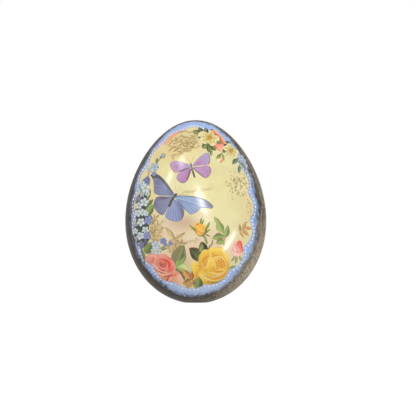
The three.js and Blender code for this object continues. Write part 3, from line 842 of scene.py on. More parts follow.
def pen_wave(start, end, high, waves, lean=0.5):
    """Slanting loops that spell nothing, as fast handwriting looks from afar."""
    start, end = np.array(start, float), np.array(end, float)
    points = []
    for k in range(waves * 4 + 1):
        s = k / (waves * 4)
        tall = high * (1.5 if luck.uniform() < 0.14 else luck.uniform(0.45, 0.8))
        rise = tall * math.sin(k * math.pi / 2)
        points.append(start + (end - start) * s + np.array([rise * lean, rise]))
    return points


stems = [(path, 0.34) for path, _, _ in SPRAYS]
stems += [([(-9, 42.5), (-6, 44.6), (-2, 45.6)], 0.25), ([(-13.4, -17.4), (-12.8, -24)], 0.4)]
waves = [(pen_wave((-9, 12.6), (1.5, 13.6), 1.3, 8), 0.2), (pen_wave((3, 13.8), (11.4, 14.8), 1.5, 5), 0.2),
    (pen_wave((-7.6, -19.8), (2.6, -18), 1.4, 6), 0.22), (pen_wave((-12, 10.8), (-4, 11.4), 0.6, 6), 0.13)]
pen_lines("pen_waves", stems + waves, ENGRAVING_LIFT + 0.01, 0.8)

# ---------------------------------------------------------------- the purple butterfly
# A printed butterfly cut out close round its wings: mauve wings with fine dark edges and
# a grey-green body. Every cut-out is thin paper like this, pasted down one over another.


def leaf(base, tip, width, bend=0.0):
    """A pointed leaf from its base to its tip."""
    base, tip = np.array(base, float), np.array(tip, float)
    along = tip - base
    across = square_to(along)
    share = np.linspace(0, 1, 15)[:, None]
    half = width / 2 * np.sin(np.pi * share**0.85)
    middle = base + along * share + across * bend * np.sin(np.pi * share)
    return np.concatenate([(middle - across * half)[:-1], (middle + across * half)[:0:-1]])


def stem(points, width):
    """A strip of even width along a curve."""
    path = smooth_path(points)
    across = square_to(np.gradient(path, axis=0)) * width / 2
    return np.concatenate([path - across, (path + across)[::-1]])


def outline(points):
    return smooth_path(points, True)


def blossom(centre, radius, petals=5, turn=0.0, depth=0.12):
    """A round flower with a notch between its petals."""
    angle = np.linspace(0, 2 * math.pi, petals * 14, endpoint=False)
    reach = radius * (1 - depth + depth * (2 * np.abs(np.cos(petals * (angle - turn) / 2)) ** 0.7 - 1))
    return np.array(centre) + heading(angle) * reach[:, None]


def resampled(loop, gap):
    """Points spaced evenly round a closed outline."""
    loop = np.concatenate([loop, loop[:1]])
    length = run_of(loop)[-1]
    count = max(8, int(length / gap))
    return walked(loop, np.arange(count) / count * length)


def leaf_cuts(leaves):
    """The outlines to cut round the leaves of a table."""
    return [leaf(base, tip, width, bend) for base, tip, width, bend, *_ in leaves]


scallops_seen = to_art(scallop_line)


class CutOut(Print):
    """A paper cut-out with its print, cut round outlines drawn as seen from the front."""

    def __init__(self, name, layer, shapes, paper, spacing=0.28, trimmed=False):
        self.name, self.layer = name, layer
        self.shapes = [resampled(np.asarray(s, float), spacing) for s in shapes]
        low = np.min([s.min(0) for s in self.shapes], axis=0)
        high = np.max([s.max(0) for s in self.shapes], axis=0)
        rows = []
        for k, z in enumerate(np.arange(low[1], high[1], spacing * 0.87)):
            x = np.arange(low[0] + (k % 2) * spacing / 2, high[0], spacing)
            rows.append(np.stack([x, np.full(len(x), z)], 1))
        grid = np.concatenate(rows)
        edges_of = [(s, True) for s in self.shapes]
        if trimmed:
            near = np.all((scallops_seen > low - 2) & (scallops_seen < high + 2), axis=1)
            runs = np.split(np.arange(len(near)), np.flatnonzero(np.diff(near.astype(int))) + 1)
            edges_of += [(scallops_seen[run], False) for run in runs if near[run[0]] and len(run) > 1]
        for line_, closed in edges_of:
            grid = grid[distance_to(grid, line_, closed)[0] > spacing * 0.5]
        grid = grid[np.any([inside(grid, s) for s in self.shapes], axis=0)]
        points, edges = [], []
        for line_, closed in edges_of:
            first, last = len(points), len(points) + len(line_) - 1
            points += list(line_)
            edges += [(i, i + 1) for i in range(first, last)]
            if closed:
                edges.append((last, first))
        points = [Vector(p) for p in points + list(grid)]
        flat, _, triangles, *_ = delaunay_2d_cdt(points, edges, [], 0, 1e-5, False)
        flat, triangles = np.array(flat), np.array([t for t in triangles if len(t) == 3])
        centres = flat[triangles].mean(1)
        kept = np.any([inside(centres, s) for s in self.shapes], axis=0)
        if trimmed:
            kept &= inside(centres, scallops_seen)
        triangles = triangles[kept]
        used, triangles = np.unique(triangles, return_inverse=True)
        triangles = triangles.reshape(-1, 3)
        super().__init__(flat[used], paper)
        ways = {(a, b) for t in triangles.tolist() for a, b in zip(t, t[1:] + t[:1])}
        self.rims = [(a, b) for a, b in ways if (b, a) not in ways]
        self.triangles = triangles
        self.depth = np.full(len(self.at), 99.0)
        for line_, closed in edges_of:
            self.depth = np.minimum(self.depth, distance_to(self.at, line_, closed)[0])

    def rim(self, colour, width=0.5, strength=0.6):
        """Blends a colour into the print towards the cut edge; a darker colour there is painted shade, for a
        look of depth.
        """
        self.cover(strength * eased(1 - self.depth / width), colour)

    def leaf(self, base, tip, width, dark, light, vein, edge=None, bend=0.0):
        """A printed leaf: one half in shade, with a midrib and side veins."""
        base, tip = np.array(base, float), np.array(tip, float)
        along = tip - base
        across = square_to(along)
        shape = leaf(base, tip, width, bend)
        if edge is not None:
            wider = leaf(base - along * 0.03, tip + along * 0.05, width * 1.16, bend)
            self.area(wider, edge, soft=0.15, smooth=False)
        middle, aside = base + along / 2, across * width * 0.3
        self.area(shape, dark, soft=0.12, smooth=False, to=light, fade=(middle - aside, middle + aside))
        spine = [base + along * s + across * bend * math.sin(math.pi * s) for s in (0, 0.3, 0.6, 0.95)]
        for s in (0.2, 0.36, 0.52, 0.68, 0.82):
            start = base + along * s + across * bend * math.sin(math.pi * s)
            for side in (-1, 1):
                reach = width * 0.42 * math.sin(math.pi * min(s + 0.08, 1) ** 0.85)
                end = start + across * side * reach + along * 0.13
                self.line([start, (start + end) / 2 + along * 0.015, end], 0.16, vein, 0.45, 0.12)
        self.line(spine, 0.26, vein, 0.9, 0.14)

    def leaves(self, table, vein, edge=None, margin=0.2):
        """Printed leaves, narrower than their paper by one margin or by one for each."""
        for (base, tip, width, bend, dark, light), less in zip(table, np.broadcast_to(margin, len(table))):
            self.leaf(base, tip, width - less, dark, light, vein, edge, bend)

    def floret(self, centre, radius, petal, eye, turn=0.3, between=None):
        """A five-petalled forget-me-not."""
        centre = np.array(centre, float)

        def toned(by):
            return tuple(min(255, tone * by) for tone in petal)

        if between is not None:
            self.wash(centre, radius * 1.12, between, 0.85, soft=0.3)
        for k in range(5):
            angle = turn + k * 2 * math.pi / 5
            way, degrees = heading(angle) * radius, math.degrees(angle)
            self.wash(centre + way * 0.58, (radius * 0.5, radius * 0.42), toned(0.96), 1.0, degrees, 0.28)
            self.wash(centre + way * 0.68, (radius * 0.35, radius * 0.3024), toned(1.12), 0.9, degrees, 0.8)
            self.line([centre + way * 0.2, centre + way * 0.62], 0.14, toned(0.7), 0.5, 0.15)
        self.wash(centre, radius * 0.3, (150, 140, 60), 0.9, soft=0.6)
        self.wash(centre, radius * 0.2, eye, 1.0, soft=0.6)

    def glue(self, stipple_strength=0.1, ageing=0.0):
        """Lays the cut-out on the egg in its layer, with its cut edge pressed down."""
        edge = np.zeros(len(self.at))
        for a, b in self.rims:
            edge[a] = edge[b] = 1
        places, _ = on_egg(to_sheet(self.at), LIFTS[self.layer] - 0.05 * edge)
        order = np.flatnonzero(edge)
        below = {v: len(places) + i for i, v in enumerate(order.tolist())}
        under, _ = on_egg(to_sheet(self.at[order]), UNDERSIDES["cut_out"])
        faces = [tuple(t) for t in self.triangles.tolist()]
        faces += [(a, below[a], below[b], b) for a, b in self.rims]
        rank = {v: i for i, v in enumerate(order.tolist())}
        rims = [(rank[a], rank[b]) for a, b in self.rims]
        rim_points = [Vector(p) for p in self.at[order]]
        flat, _, bottom, *_ = delaunay_2d_cdt(rim_points, rims, [], 0, 1e-6, False)
        if len(flat) == len(order):
            bottom = np.array([t for t in bottom if len(t) == 3])
            middles = np.array(flat)[bottom].mean(1)
            for t in bottom[np.any([inside(middles, s) for s in self.shapes], axis=0)]:
                faces.append(tuple((len(places) + t[::-1]).tolist()))
        material, *_ = printed_paper(self.name + "_print", stipple_strength, ageing)
        both_sides = np.concatenate([places, under])
        name = self.name + "_paper"
        self.print_on(make_sheet(name, both_sides, faces, material, [self.name]))


MAUVE, MAUVE_DEEP, WING_EDGE = (182, 146, 184), (176, 126, 164), (96, 86, 84)
upper_left = [(-3, 29.8), (-9, 32.2), (-14, 32.9), (-16.3, 31.4), (-15.6, 27.8), (-12.8, 25.3), (-8, 26.6),
    (-4, 28.2)]
lower_left = [(-2.6, 28), (-7, 27), (-10.6, 25), (-12.3, 22.1), (-10.6, 19.3), (-7.4, 18.6), (-5.2, 20.3),
    (-3.8, 24)]
upper_right = [(-1.8, 29.4), (0.6, 33.4), (4.6, 37), (7.4, 38.2), (9, 36.6), (9.3, 33), (8.2, 30.6),
    (4, 30)]
lower_right = [(-1.7, 28.4), (3, 29.1), (7.4, 29.8), (9.9, 28), (9.6, 24.6), (7.6, 22.2), (5.4, 22),
    (1.4, 25.2)]
purple = CutOut("purple_butterfly", 2, [
    stem([(-3.1, 31.2), (-2.3, 27.6), (-0.5, 22)], 1.2),
    outline(upper_left), outline(lower_left), outline(upper_right), outline(lower_right)], MAUVE, 0.24)
purple.area(upper_left, (188, 152, 190), to=(176, 160, 190), fade=((-10, 28), (-6, 32)))
purple.wash((-12.5, 29), (3.4, 3), MAUVE_DEEP, 0.8)
purple.wash((-5, 29.6), (2.6, 0.9), (165, 160, 196), 0.8, -12)
purple.area(lower_left, (190, 146, 190), to=MAUVE_DEEP, fade=((-10, 25), (-5, 21)))
purple.wash((-7, 22.4), (3.4, 2.8), (190, 132, 176), 0.8)
purple.area(upper_right, (188, 150, 190), to=(178, 158, 196), fade=((1, 31), (7, 37)))
purple.wash((2.4, 31.6), (3.4, 1.6), MAUVE_DEEP, 0.8, 20)
purple.area(lower_right, (192, 150, 192), to=(184, 140, 178), fade=((2, 29), (8, 24)))
for wing, hub in (
    (upper_left, (-2.8, 29.6)), (lower_left, (-2.6, 27.6)), (upper_right, (-1.8, 29.6)),
    (lower_right, (-1.6, 28.2)),
):
    for x, z in np.array(wing)[1:-1]:
        mid = ((hub[0] + x) / 2 + 0.2, (hub[1] + z) / 2 + 0.2)
        purple.line([hub, mid, (hub[0] + (x - hub[0]) * 0.94, hub[1] + (z - hub[1]) * 0.94)], 0.2,
            (170, 128, 172), 0.45, 0.14)
for edge_line, wide in (
    ([(-3.4, 28.6), (-7.6, 27.1), (-10.8, 25.2), (-12.3, 22.2)], 0.7),
    ([(-3.8, 27.4), (-4.2, 24), (-5.6, 20.4)], 0.9),
    ([(-12.4, 22), (-10.6, 19.2), (-7.4, 18.5), (-5, 20)], 0.45),
    ([(-16.4, 31.2), (-15.6, 27.8), (-12.8, 25.3)], 0.5), ([(-1.4, 28.7), (3, 29.4), (7.8, 30.1)], 0.75),
    ([(-1.4, 27.9), (1.6, 25.2), (5.4, 22)], 0.7),
    ([(5.4, 21.9), (7.6, 22.1), (9.6, 24.4), (9.9, 28), (8, 29.6)], 0.5),
    ([(8.4, 37.8), (9.4, 34.8), (9.2, 32.4), (8.2, 30.6)], 0.7),
):
    purple.line(edge_line, wide * 1.2, WING_EDGE, 0.9, 0.22)
purple.lines([
    ([(9.3, 35.6), (9.6, 33.4), (8.9, 31)], 0.5, (145, 142, 118), 0.7, 0.2),
    ([(-3.1, 31.2), (-2.3, 27.8), (-0.6, 22.4)], 1.3, (92, 104, 80), 1.0, 0.2, 0.5),
    ([(-3.1, 30.6), (-2.5, 28), (-1.9, 26)], 0.5, (142, 156, 130), 0.9, 0.2),
    ([(-1.6, 25.6), (-0.6, 22.4)], 0.9, (72, 88, 62), 0.8, 0.2)])
purple.glue(0.3)

# ---------------------------------------------------------------- the blue butterfly
# The largest cut-out on the pale ground: slate-blue wings, lighter and bluer to the
# right, with violet veins, a smoky leading edge and a dark narrow body.
VEIN, SMOKE = (98, 98, 134), (74, 76, 82)
top_wing = [(-13.6, 10.8), (-16, 14.8), (-19.6, 20), (-23.4, 23.6), (-26.6, 24.6), (-29.2, 23.8),
    (-27.6, 21), (-26.9, 16), (-26.7, 12.6), (-24.4, 10.9), (-19, 10.4)]
side_wing = [(-14.4, 9.4), (-19, 9.9), (-24.4, 9.8), (-26.6, 7.2), (-26.9, 4), (-25.4, 0.6), (-22.4, -1.9),
    (-20.6, -1.7), (-18.2, 2)]
low_wing = [(-14.6, 8.6), (-17.6, 2.4), (-19.5, -2.6), (-17.6, -4.8), (-14.4, -6), (-11, -6), (-8.4, -4.2),
    (-7.3, -1), (-8.2, 2.6)]
far_wing = [(-13.2, 9.6), (-8, 10.4), (-1, 10), (5, 8.4), (9.2, 6), (11.3, 3.6), (10.6, 2.1), (7.6, 2.4),
    (3.4, 2.4), (1.6, 0.4), (-2, -1.4), (-3.8, -1.3), (-8.4, 3)]
morpho = CutOut("blue_butterfly", 2, [
    stem([(-12.2, 11.8), (-14.6, 8.5), (-17.1, 3.6)], 1.5),
    outline(top_wing), outline(side_wing), outline(low_wing), outline(far_wing)], (138, 146, 182), 0.24)
morpho.area(top_wing, (130, 135, 172), to=(146, 154, 192), fade=((-26, 13), (-18, 15)))
morpho.wash((-24, 19.6), (4, 3), (112, 112, 140), 0.7)
morpho.area([(-15, 11.4), (-19.6, 11.2), (-22.4, 13), (-19.6, 17.4), (-17, 15)], (148, 158, 200), 0.7, 0.9)
for end in ((-26.4, 13.6), (-26.6, 16.4), (-26.6, 19.2), (-24.4, 21), (-22, 20.6), (-24.4, 11.4)):
    morpho.line([(-14.6, 10.8), ((-14.6 + end[0]) / 2 + 0.6, (10.8 + end[1]) / 2 + 0.5), end], 0.34, VEIN,
        0.85, 0.18, 0.3)
morpho.line([(-26.6, 15), (-23.8, 15.6), (-21.6, 14.4), (-20.2, 12)], 0.3, VEIN, 0.7, 0.2)
morpho.line([(-26.8, 17.8), (-24, 18.4), (-21.4, 17.2)], 0.3, VEIN, 0.6, 0.2)
morpho.area([(-13.4, 11.2), (-16.2, 15.6), (-19.8, 20.6), (-23.6, 24.2), (-27, 25.2), (-29.8, 24),
        (-27.8, 21.4), (-26, 21.8), (-23.4, 21.2), (-20.4, 18.4), (-17.4, 14.6)], SMOKE, 0.95, 0.35)
morpho.area(side_wing, (126, 128, 162), to=(140, 146, 184), fade=((-25, 4), (-16, 6)))
morpho.wash((-20.5, 8.9), (7, 1.7), (96, 92, 106), 0.95, 2)
morpho.wash((-25.6, 5), (1.6, 3.6), (100, 96, 110), 0.8)
for end in ((-25.8, 6), (-26, 3.6), (-25, 1), (-23.4, -0.8), (-21.4, -1.2), (-19.8, 0.4)):
    morpho.line([(-15, 8.6), end], 0.5, (156, 162, 194), 0.75, 0.2, 0.5)
    morpho.line([(-15.4, 8.2), (end[0] + 0.9, end[1] + 0.5)], 0.22, (88, 86, 116), 0.7, 0.12)
morpho.area(low_wing, (142, 156, 200), to=(120, 124, 164), fade=((-14, 0), (-8.4, 1)))
for end in ((-18.9, -2.6), (-17.4, -4), (-15.4, -5), (-13.2, -5.6), (-11, -5.4), (-9.2, -4)):
    morpho.line([(-14.2, 7.6), end], 0.62, (160, 178, 218), 0.8, 0.22, 0.4)
    morpho.line([(-14, 7.4), (end[0] + 0.8, end[1] + 0.4)], 0.26, (104, 106, 150), 0.8, 0.14)
morpho.line([(-9.4, 2), (-7.8, -1), (-9, -4.2)], 1.7, (108, 106, 128), 0.75, 0.5)
morpho.area(far_wing, (148, 172, 212), to=(132, 138, 176), fade=((-6, 6), (9, 3)))
morpho.wash((-6, 8), (6, 1.6), (156, 186, 218), 0.8, -6)
for end in ((-3.6, -0.8), (-1.6, -0.6), (0.4, 0.6), (2, 1.8), (4, 2.8), (6.8, 3)):
    morpho.line([(-12, 9), ((-12 + end[0]) / 2 + 0.3, (9 + end[1]) / 2 + 0.2), end], 0.66, (164, 190, 224),
        0.75, 0.22, 0.4)
    morpho.line([(-11.4, 8.2), (end[0] - 0.8, end[1] - 0.2)], 0.28, (112, 116, 166), 0.85, 0.14)
morpho.line([(-4, -1.3), (-8.4, 3.2), (-12, 8)], 0.8, (112, 108, 146), 0.8, 0.25)
morpho.line([(-13, 10), (-8, 10.5), (-2, 10), (5, 8.2), (9.4, 5.8), (11.2, 3.4)], 1.0, (96, 100, 110), 0.9,
    0.3, 0.2)
morpho.washes([
    ((8.6, 4.8), (4, 2), (104, 110, 122), 0.9, -36), ((7.4, 3.9), (2, 0.9), (150, 158, 174), 0.8, -30),
    ((-10, 8), (60, 60), (132, 124, 122), 0.2, 0, 0.2)])
# Painted shade: the wings darken towards their cut edge.
morpho.rim((92, 92, 116), 0.35, 0.5)
morpho.line([(-12.2, 11.8), (-14.6, 8.5), (-17.1, 3.6)], 1.5, (66, 66, 62), 1.0, 0.2, 0.35)
morpho.line([(-13, 10.6), (-14.8, 7.6), (-16.4, 4.9)], 0.4, (132, 132, 118), 0.7, 0.2)
morpho.glue(0.14)

pen_lines("butterfly_feelers", [
    ([(-12.4, 11.8), (-12.8, 15), (-13.6, 18.6)], 0.2), ([(-12.2, 11.8), (-10.6, 14.6), (-9.6, 17)], 0.16),
    ([(-3, 31.2), (-4.2, 33.2), (-6.6, 35.4)], 0.24), ([(-2.8, 31.2), (-2.2, 33.4), (-1.1, 36)], 0.24)],
    LIFTS["ground"] + 0.03, 0.5)

# ---------------------------------------------------------------- the yellow rosebud
# A printed bud of golden petals with a red heart, in green sepals on its own stem.
yellow_bud = CutOut("yellow_rosebud", 2,
    [outline([(-0.9, -9.8), (-0.6, -7.8), (0.8, -6.6), (2, -7.2), (3.2, -5.8), (4.6, -7.4), (6, -8.6),
        (7.3, -10.4), (6.8, -12.8), (5, -15.4), (2.4, -15.8), (0, -13.4)]),
        stem([(4.6, -14.6), (6, -16.6), (7, -19), (7.2, -20.6)], 1.3),
        leaf((0.2, -12.4), (-4.2, -8), 1.8, 0.3), leaf((3, -7.6), (4, -3.4), 1.3),
        leaf((4, -8), (5.6, -4.6), 1), leaf((6, -12), (9.2, -6), 1.7, -0.3),
        leaf((5.6, -14.2), (9.8, -11), 1.6, 0.3), leaf((5.8, -14.4), (9.6, -16.2), 1, 0.2)], (240, 186, 78),
    0.22)
yellow_bud.area([(-0.9, -9.8), (-0.6, -7.6), (0.8, -6.5), (2.4, -7), (4, -8), (6, -8.8), (7.3, -10.4),
        (6.6, -12.8), (4.8, -15.2), (2.4, -14.6), (0.2, -12.8)], (244, 192, 84), to=(230, 156, 66),
    fade=((4, -8), (3, -15)))
for ridge, tone, wide in (
    ([(-0.6, -9.4), (0.8, -11.4), (2.6, -13.6), (4.6, -14.8)], (222, 140, 58), 0.5),
    ([(0.8, -9.8), (2.6, -11.6), (4.4, -12.6), (6, -12.4)], (248, 214, 120), 0.5),
    ([(1.6, -8.6), (3.6, -9.8), (5.6, -10), (7, -10)], (226, 150, 60), 0.4),
    ([(0, -11), (1.8, -13.2), (3.8, -14.6)], (250, 208, 110), 0.45),
    ([(2.8, -7.2), (4.2, -9), (5, -10.6), (5, -12)], (224, 144, 58), 0.35)):
    yellow_bud.line(ridge, wide, tone, 0.85, 0.2)
yellow_bud.wash((1.2, -8.2), (0.9, 0.6), (200, 74, 40), 1, 20, 0.7)
yellow_bud.line([(0, -8.2), (1.4, -7.4), (2.6, -8)], 0.4, (220, 120, 56), 0.9)
for green in (
    [(0.2, -12.4), (-2, -9.8), (-4, -8)], [(3.1, -7.4), (3.8, -5.4), (4, -3.6)], [(4.2, -7.6), (5.4, -5)],
    [(6.2, -12), (8, -9), (9.1, -6.4)], [(5.8, -14), (8, -12.6), (9.6, -11.2)],
    [(6, -14.6), (8, -15), (9.4, -16)],
):
    yellow_bud.line(green, 1.5, (96, 122, 62), 1, 0.2, 0.5)
    yellow_bud.line(green, 0.4, (160, 180, 96), 0.7, 0.2)
yellow_bud.lines([
    ([(-0.4, -12.4), (0.6, -15), (2.6, -15.9), (4.8, -15.6), (6.2, -13.4), (7, -11)], 1.3, (92, 118, 66), 1,
        0.25, 0.4), ([(0.4, -14.4), (2.6, -15.6), (4.6, -15.2)], 0.4, (142, 164, 98), 0.8),
    ([(4.6, -15), (6, -16.8), (7, -19), (7.2, -20.6)], 1.4, (112, 134, 84), 1, 0.2, 0.2),
    ([(5, -15.6), (6.4, -17.6), (7.2, -20)], 0.4, (170, 186, 130), 0.8)])
yellow_bud.glue(0.12)

# ---------------------------------------------------------------- the green leaf sprig
# Fresh green rose leaves with orange-red edges, on a thin stalk.
FRESH, FRESH_LIGHT, FRESH_VEIN, WARM_EDGE = (104, 134, 74), (162, 184, 104), (196, 206, 140), (206, 130, 84)
STALK = [(14.6, -5.6), (16.4, -9), (17.6, -12), (18.4, -16), (18.2, -21.6)]
leaves = [(*place, FRESH, FRESH_LIGHT) for place in (((16.2, -7.2), (11.6, -3), 2.6, 0.5),
    ((17.6, -13.4), (14, -5.2), 5, 0.4), ((18.6, -17), (20.8, -8.2), 3.8, -0.5),
    ((18.8, -16.2), (10.4, -17.2), 5.2, -0.7), ((18.6, -19), (13, -20.4), 4.6, -0.8))]
sprig = CutOut("green_leaf_sprig", 2, [stem(STALK, 0.7), *leaf_cuts(leaves)], FRESH, 0.24)
sprig.leaves(leaves, FRESH_VEIN, WARM_EDGE, margin=(0.3, 0.4, 0.4, 0.4, 0.4))
sprig.line(STALK, 0.5, (150, 160, 96), 0.8, 0.15, 0.2)
sprig.glue(0.12)

# ---------------------------------------------------------------- the brown leaf sprig
# Five small autumn leaves near the frame, one of them still green.
leaves = [((28.6, -12.8), (28.4, -7.6), 1.7, 0, (96, 112, 74), (140, 150, 100)),
    ((30.2, -11.4), (33.2, -6), 2, 0.3, (172, 124, 78), (204, 160, 104)),
    ((31, -10.4), (37, -11.2), 2.2, 0.3, (176, 128, 84), (206, 158, 110)),
    ((30, -11.4), (34.4, -15.8), 2.3, 0.2, (176, 130, 70), (206, 166, 100)),
    ((28.4, -11.8), (31.4, -16.8), 1.8, -0.2, (184, 140, 92), (214, 178, 122))]
stalk = stem([(28.4, -12.4), (30.4, -11.2), (31.6, -10.4)], 0.6)
brown = CutOut("brown_leaf_sprig", 2, [stalk, *leaf_cuts(leaves)], (190, 140, 84), 0.24, trimmed=True)
brown.leaves(leaves, (222, 190, 130), margin=(0.1, 0.2, 0.2, 0.2, 0.2))
brown.glue(0.12)

# ---------------------------------------------------------------- the pink rosebud
# A half-open pink bud near the frame, red down its right side, with small green sepals.
leaves = [(*place, 1.8, 0, (112, 132, 88), (162, 172, 116)) for place in (
    ((26.2, -28.4), (22.6, -32.4)), ((27, -28.8), (25.6, -34)), ((28, -28.4), (30.4, -32.6)))]
pink_bud = CutOut("pink_rosebud", 2,
    [outline([(22.8, -23.4), (24.4, -20.8), (26.6, -19.2), (28.6, -18.4), (29.8, -19.8), (30.3, -22.6),
        (30.9, -25.4), (29.6, -27.6), (27.4, -29.2), (24.8, -28.6), (23.2, -26.6)]), *leaf_cuts(leaves)],
    (243, 184, 172), 0.24, trimmed=True)
pink_bud.area([(22.8, -23.4), (24.4, -20.8), (26.8, -19.6), (27, -23), (26, -27.6), (24, -27.4)],
    (240, 172, 164), to=(246, 208, 196), fade=((23, -22), (26, -27)))
pink_bud.area([(26.6, -19.2), (28.6, -18.4), (29.8, -19.8), (30.3, -22.6), (30.8, -25.2), (29, -25.6),
        (27.4, -23)], (228, 108, 96), to=(238, 150, 136), fade=((29.4, -20), (28, -25)))
pink_bud.lines([
    ([(29.6, -19.4), (30, -22.6), (30.2, -25)], 1.1, (216, 76, 66), 0.85, 0.3),
    ([(27, -19.4), (26.4, -22.6), (27, -26)], 0.7, (226, 120, 110), 0.8, 0.3),
    ([(23.4, -24), (25, -25.6), (27.6, -26), (30.4, -25.8)], 0.6, (226, 116, 104), 0.8, 0.25)])
pink_bud.area([(23, -26.4), (26, -26.6), (29.6, -26.8), (28.4, -28.6), (26.4, -29.2), (24.2, -28)],
    (248, 200, 190), 0.9, 0.3)
pink_bud.line([(24.4, -22), (25.4, -24), (25.4, -26)], 0.5, (250, 222, 212), 0.8, 0.3)
pink_bud.leaves(leaves, (196, 200, 150), margin=0.1)
pink_bud.glue(0.12)

# ---------------------------------------------------------------- the leaves round the roses
# Serrated rose leaves: a dark pair with red edges behind the yellow rose, a large olive
# one with its fresh green foot beside the pink rose, and russet ones between the two.
DEEP, DEEP_LIGHT, DEEP_VEIN, RED_EDGE = (58, 62, 42), (92, 100, 62), (150, 162, 98), (206, 108, 88)
dark_a = [(-4.1, -23.4), (-2, -22.8), (0.4, -23), (2.6, -24.4), (3.6, -26.8), (3.4, -29.6), (2.4, -32),
    (0.6, -31.6), (-1.6, -30.4), (-3, -28.4), (-3.7, -26)]
dark_b = [(2.4, -25.2), (2.2, -22.4), (3.2, -19.6), (4.6, -19.2), (6.6, -20.8), (7.8, -23), (7.2, -25.2),
    (5, -26.4)]
dark = CutOut("dark_rose_leaves", 2,
    [outline(dark_a), outline(dark_b), stem([(8, -24.4), (9, -22.4), (10.6, -20.6), (11, -18.4)], 0.7)],
    DEEP, 0.24)
dark.area(dark_a, DEEP, to=DEEP_LIGHT, fade=((-3, -26), (3, -26)))
dark.area(dark_b, DEEP_LIGHT, to=DEEP, fade=((2.6, -22), (7, -22)))
dark.area([(2.6, -25), (3.4, -21.4), (4.6, -21.6), (4.2, -25.6)], (160, 172, 112), 0.8, 0.4)
dark.line([(-3.4, -24), (-0.4, -27), (2.4, -31)], 0.3, DEEP_VEIN, 0.9)
for k in range(5):
    at = np.array([-3, -24.6]) + np.array([1.2, -1.3]) * k
    dark.line([at, at + (1.3, 0.3), at + (2.2, 1.2)], 0.2, DEEP_VEIN, 0.6, 0.14)
    dark.line([at, at + (-0.2, -1.2), at + (0.4, -2.4)], 0.2, DEEP_VEIN, 0.6, 0.14)
dark.line([(3.6, -19.6), (4.8, -22.4), (6, -25.6)], 0.3, DEEP_VEIN, 0.9)
for edge_line in (
    [(-4.1, -23.4), (-3.8, -26), (-3, -28.6), (-1.4, -30.6), (0.8, -31.8)],
    [(-4, -23.3), (-1.6, -22.8), (0.6, -23)], [(2.4, -25.2), (2.2, -22.4), (3.2, -19.6), (4.6, -19.1)],
):
    for s in np.linspace(0, 1, 9):
        at = np.array([
            np.interp(s, np.linspace(0, 1, len(edge_line)), [p[c] for p in edge_line]) for c in (0, 1)])
        dark.wash(at, 0.5, RED_EDGE, 0.9, soft=0.8)
dark.line([(8, -24.4), (9, -22.4), (10.6, -20.6), (11, -18.4)], 0.7, (112, 124, 92), 1)
dark.glue(0.16)

big = CutOut("large_rose_leaf", 2,
    [leaf((-13.2, -35.6), (-7.4, -21), 9.4, 0.3), leaf((-13.8, -34.4), (-1.6, -39.4), 5.6, 0.5),
        leaf((-13.4, -34.6), (-6.6, -44), 5.4, -0.3)], (112, 112, 76), 0.26)
big.leaf((-13.4, -34.8), (-6.6, -44), 5.2, (98, 84, 62), (128, 120, 84), (150, 150, 104), None, -0.3)
big.leaf((-13.8, -34.4), (-1.6, -39.4), 5.4, (150, 172, 96), (206, 214, 146), (226, 228, 170), None, 0.5)
big.wash((-3.4, -38.6), (2.6, 1.4), (178, 196, 168), 0.7, -22)
big.leaf((-13.2, -35.6), (-7.4, -21), 9.2, (104, 106, 72), (138, 132, 94), (172, 176, 118), None, 0.3)
big.area([(-13, -35), (-12.4, -32), (-10.6, -31.6), (-8, -29.6), (-6.8, -28), (-7.4, -31.6), (-9.8, -34.2)],
    (150, 184, 100), 0.85, 0.7)
big.wash((-6.9, -26.4), (1.2, 3.4), (156, 168, 122), 0.6, 8)
big.line([(-13.2, -35.6), (-10.8, -30.4), (-8.9, -25.6), (-7.6, -21.6)], 0.3, (178, 184, 120), 0.9)
big.glue(0.14)

leaves = [((-2.4, -43.8), (-2.4, -38.2), 2.6, 0, (132, 66, 56), (172, 96, 76)),
    ((-2.2, -44.4), (0.6, -46.8), 2.4, 0, (140, 66, 56), (176, 96, 76)),
    ((-2, -44.4), (-5.8, -49), 3.4, 0, (166, 104, 56), (214, 156, 96)),
    ((-2, -44.2), (-8.4, -46.2), 4.6, 0.4, (150, 110, 58), (196, 160, 96)),
    ((-3.2, -43.2), (-8.6, -36.4), 4, 0.3, (178, 116, 62), (222, 164, 98))]
knot = stem([(-3.4, -43.2), (-1.2, -45.2)], 1.4)
russet = CutOut("russet_leaves", 4, [*leaf_cuts(leaves), knot], (184, 124, 66), 0.24, trimmed=True)
russet.leaves(leaves, (236, 196, 130), margin=(0.2, 0.2, 0.2, 0.4, 0.2))
russet.wash((-2.6, -44.4), 0.9, (240, 214, 150), 0.9)
russet.glue(0.14)

low = CutOut("low_leaf", 4, [leaf((1.4, -50.4), (2.2, -41.6), 6.4, 0.2)], (104, 120, 72), 0.24,
    trimmed=True)
low.leaf((1.4, -50.4), (2.2, -41.6), 6.2, (84, 102, 60), (150, 164, 100), (186, 194, 128), None, 0.2)
low.glue(0.14)

# ---------------------------------------------------------------- the yellow rose
# The largest cut-out: a full golden rose seen from its side, its petals edged with cream
# and shaded with orange, trimmed below to the scalloped frame.
GOLD, BRIGHT, CREAM_EDGE = (233, 190, 74), (243, 212, 92), (248, 230, 172)
rose = CutOut("yellow_rose", 3,
    [outline([(-3.1, -33.4), (-1.7, -32), (0.4, -32.1), (1.9, -33.2), (1.7, -30.8), (2.2, -28.2),
        (3.6, -26.3), (4.8, -24.7), (6.6, -24.1), (8, -24.3), (9.2, -23), (10.2, -22.6), (11, -23.4),
        (12, -23.8), (13, -23), (14.6, -22.6), (17, -23), (18.8, -25), (20.6, -28), (21.9, -31),
        (21.9, -34), (21.4, -38), (20, -42), (17.4, -45), (13, -47.4), (8, -47.2), (4.6, -46), (3.4, -43.6),
        (1.2, -43.2), (-0.8, -43.7), (-1.6, -41.4), (-1.8, -39.4), (-2.3, -37.2), (-2.9, -35.2)])], GOLD,
    0.24, trimmed=True)
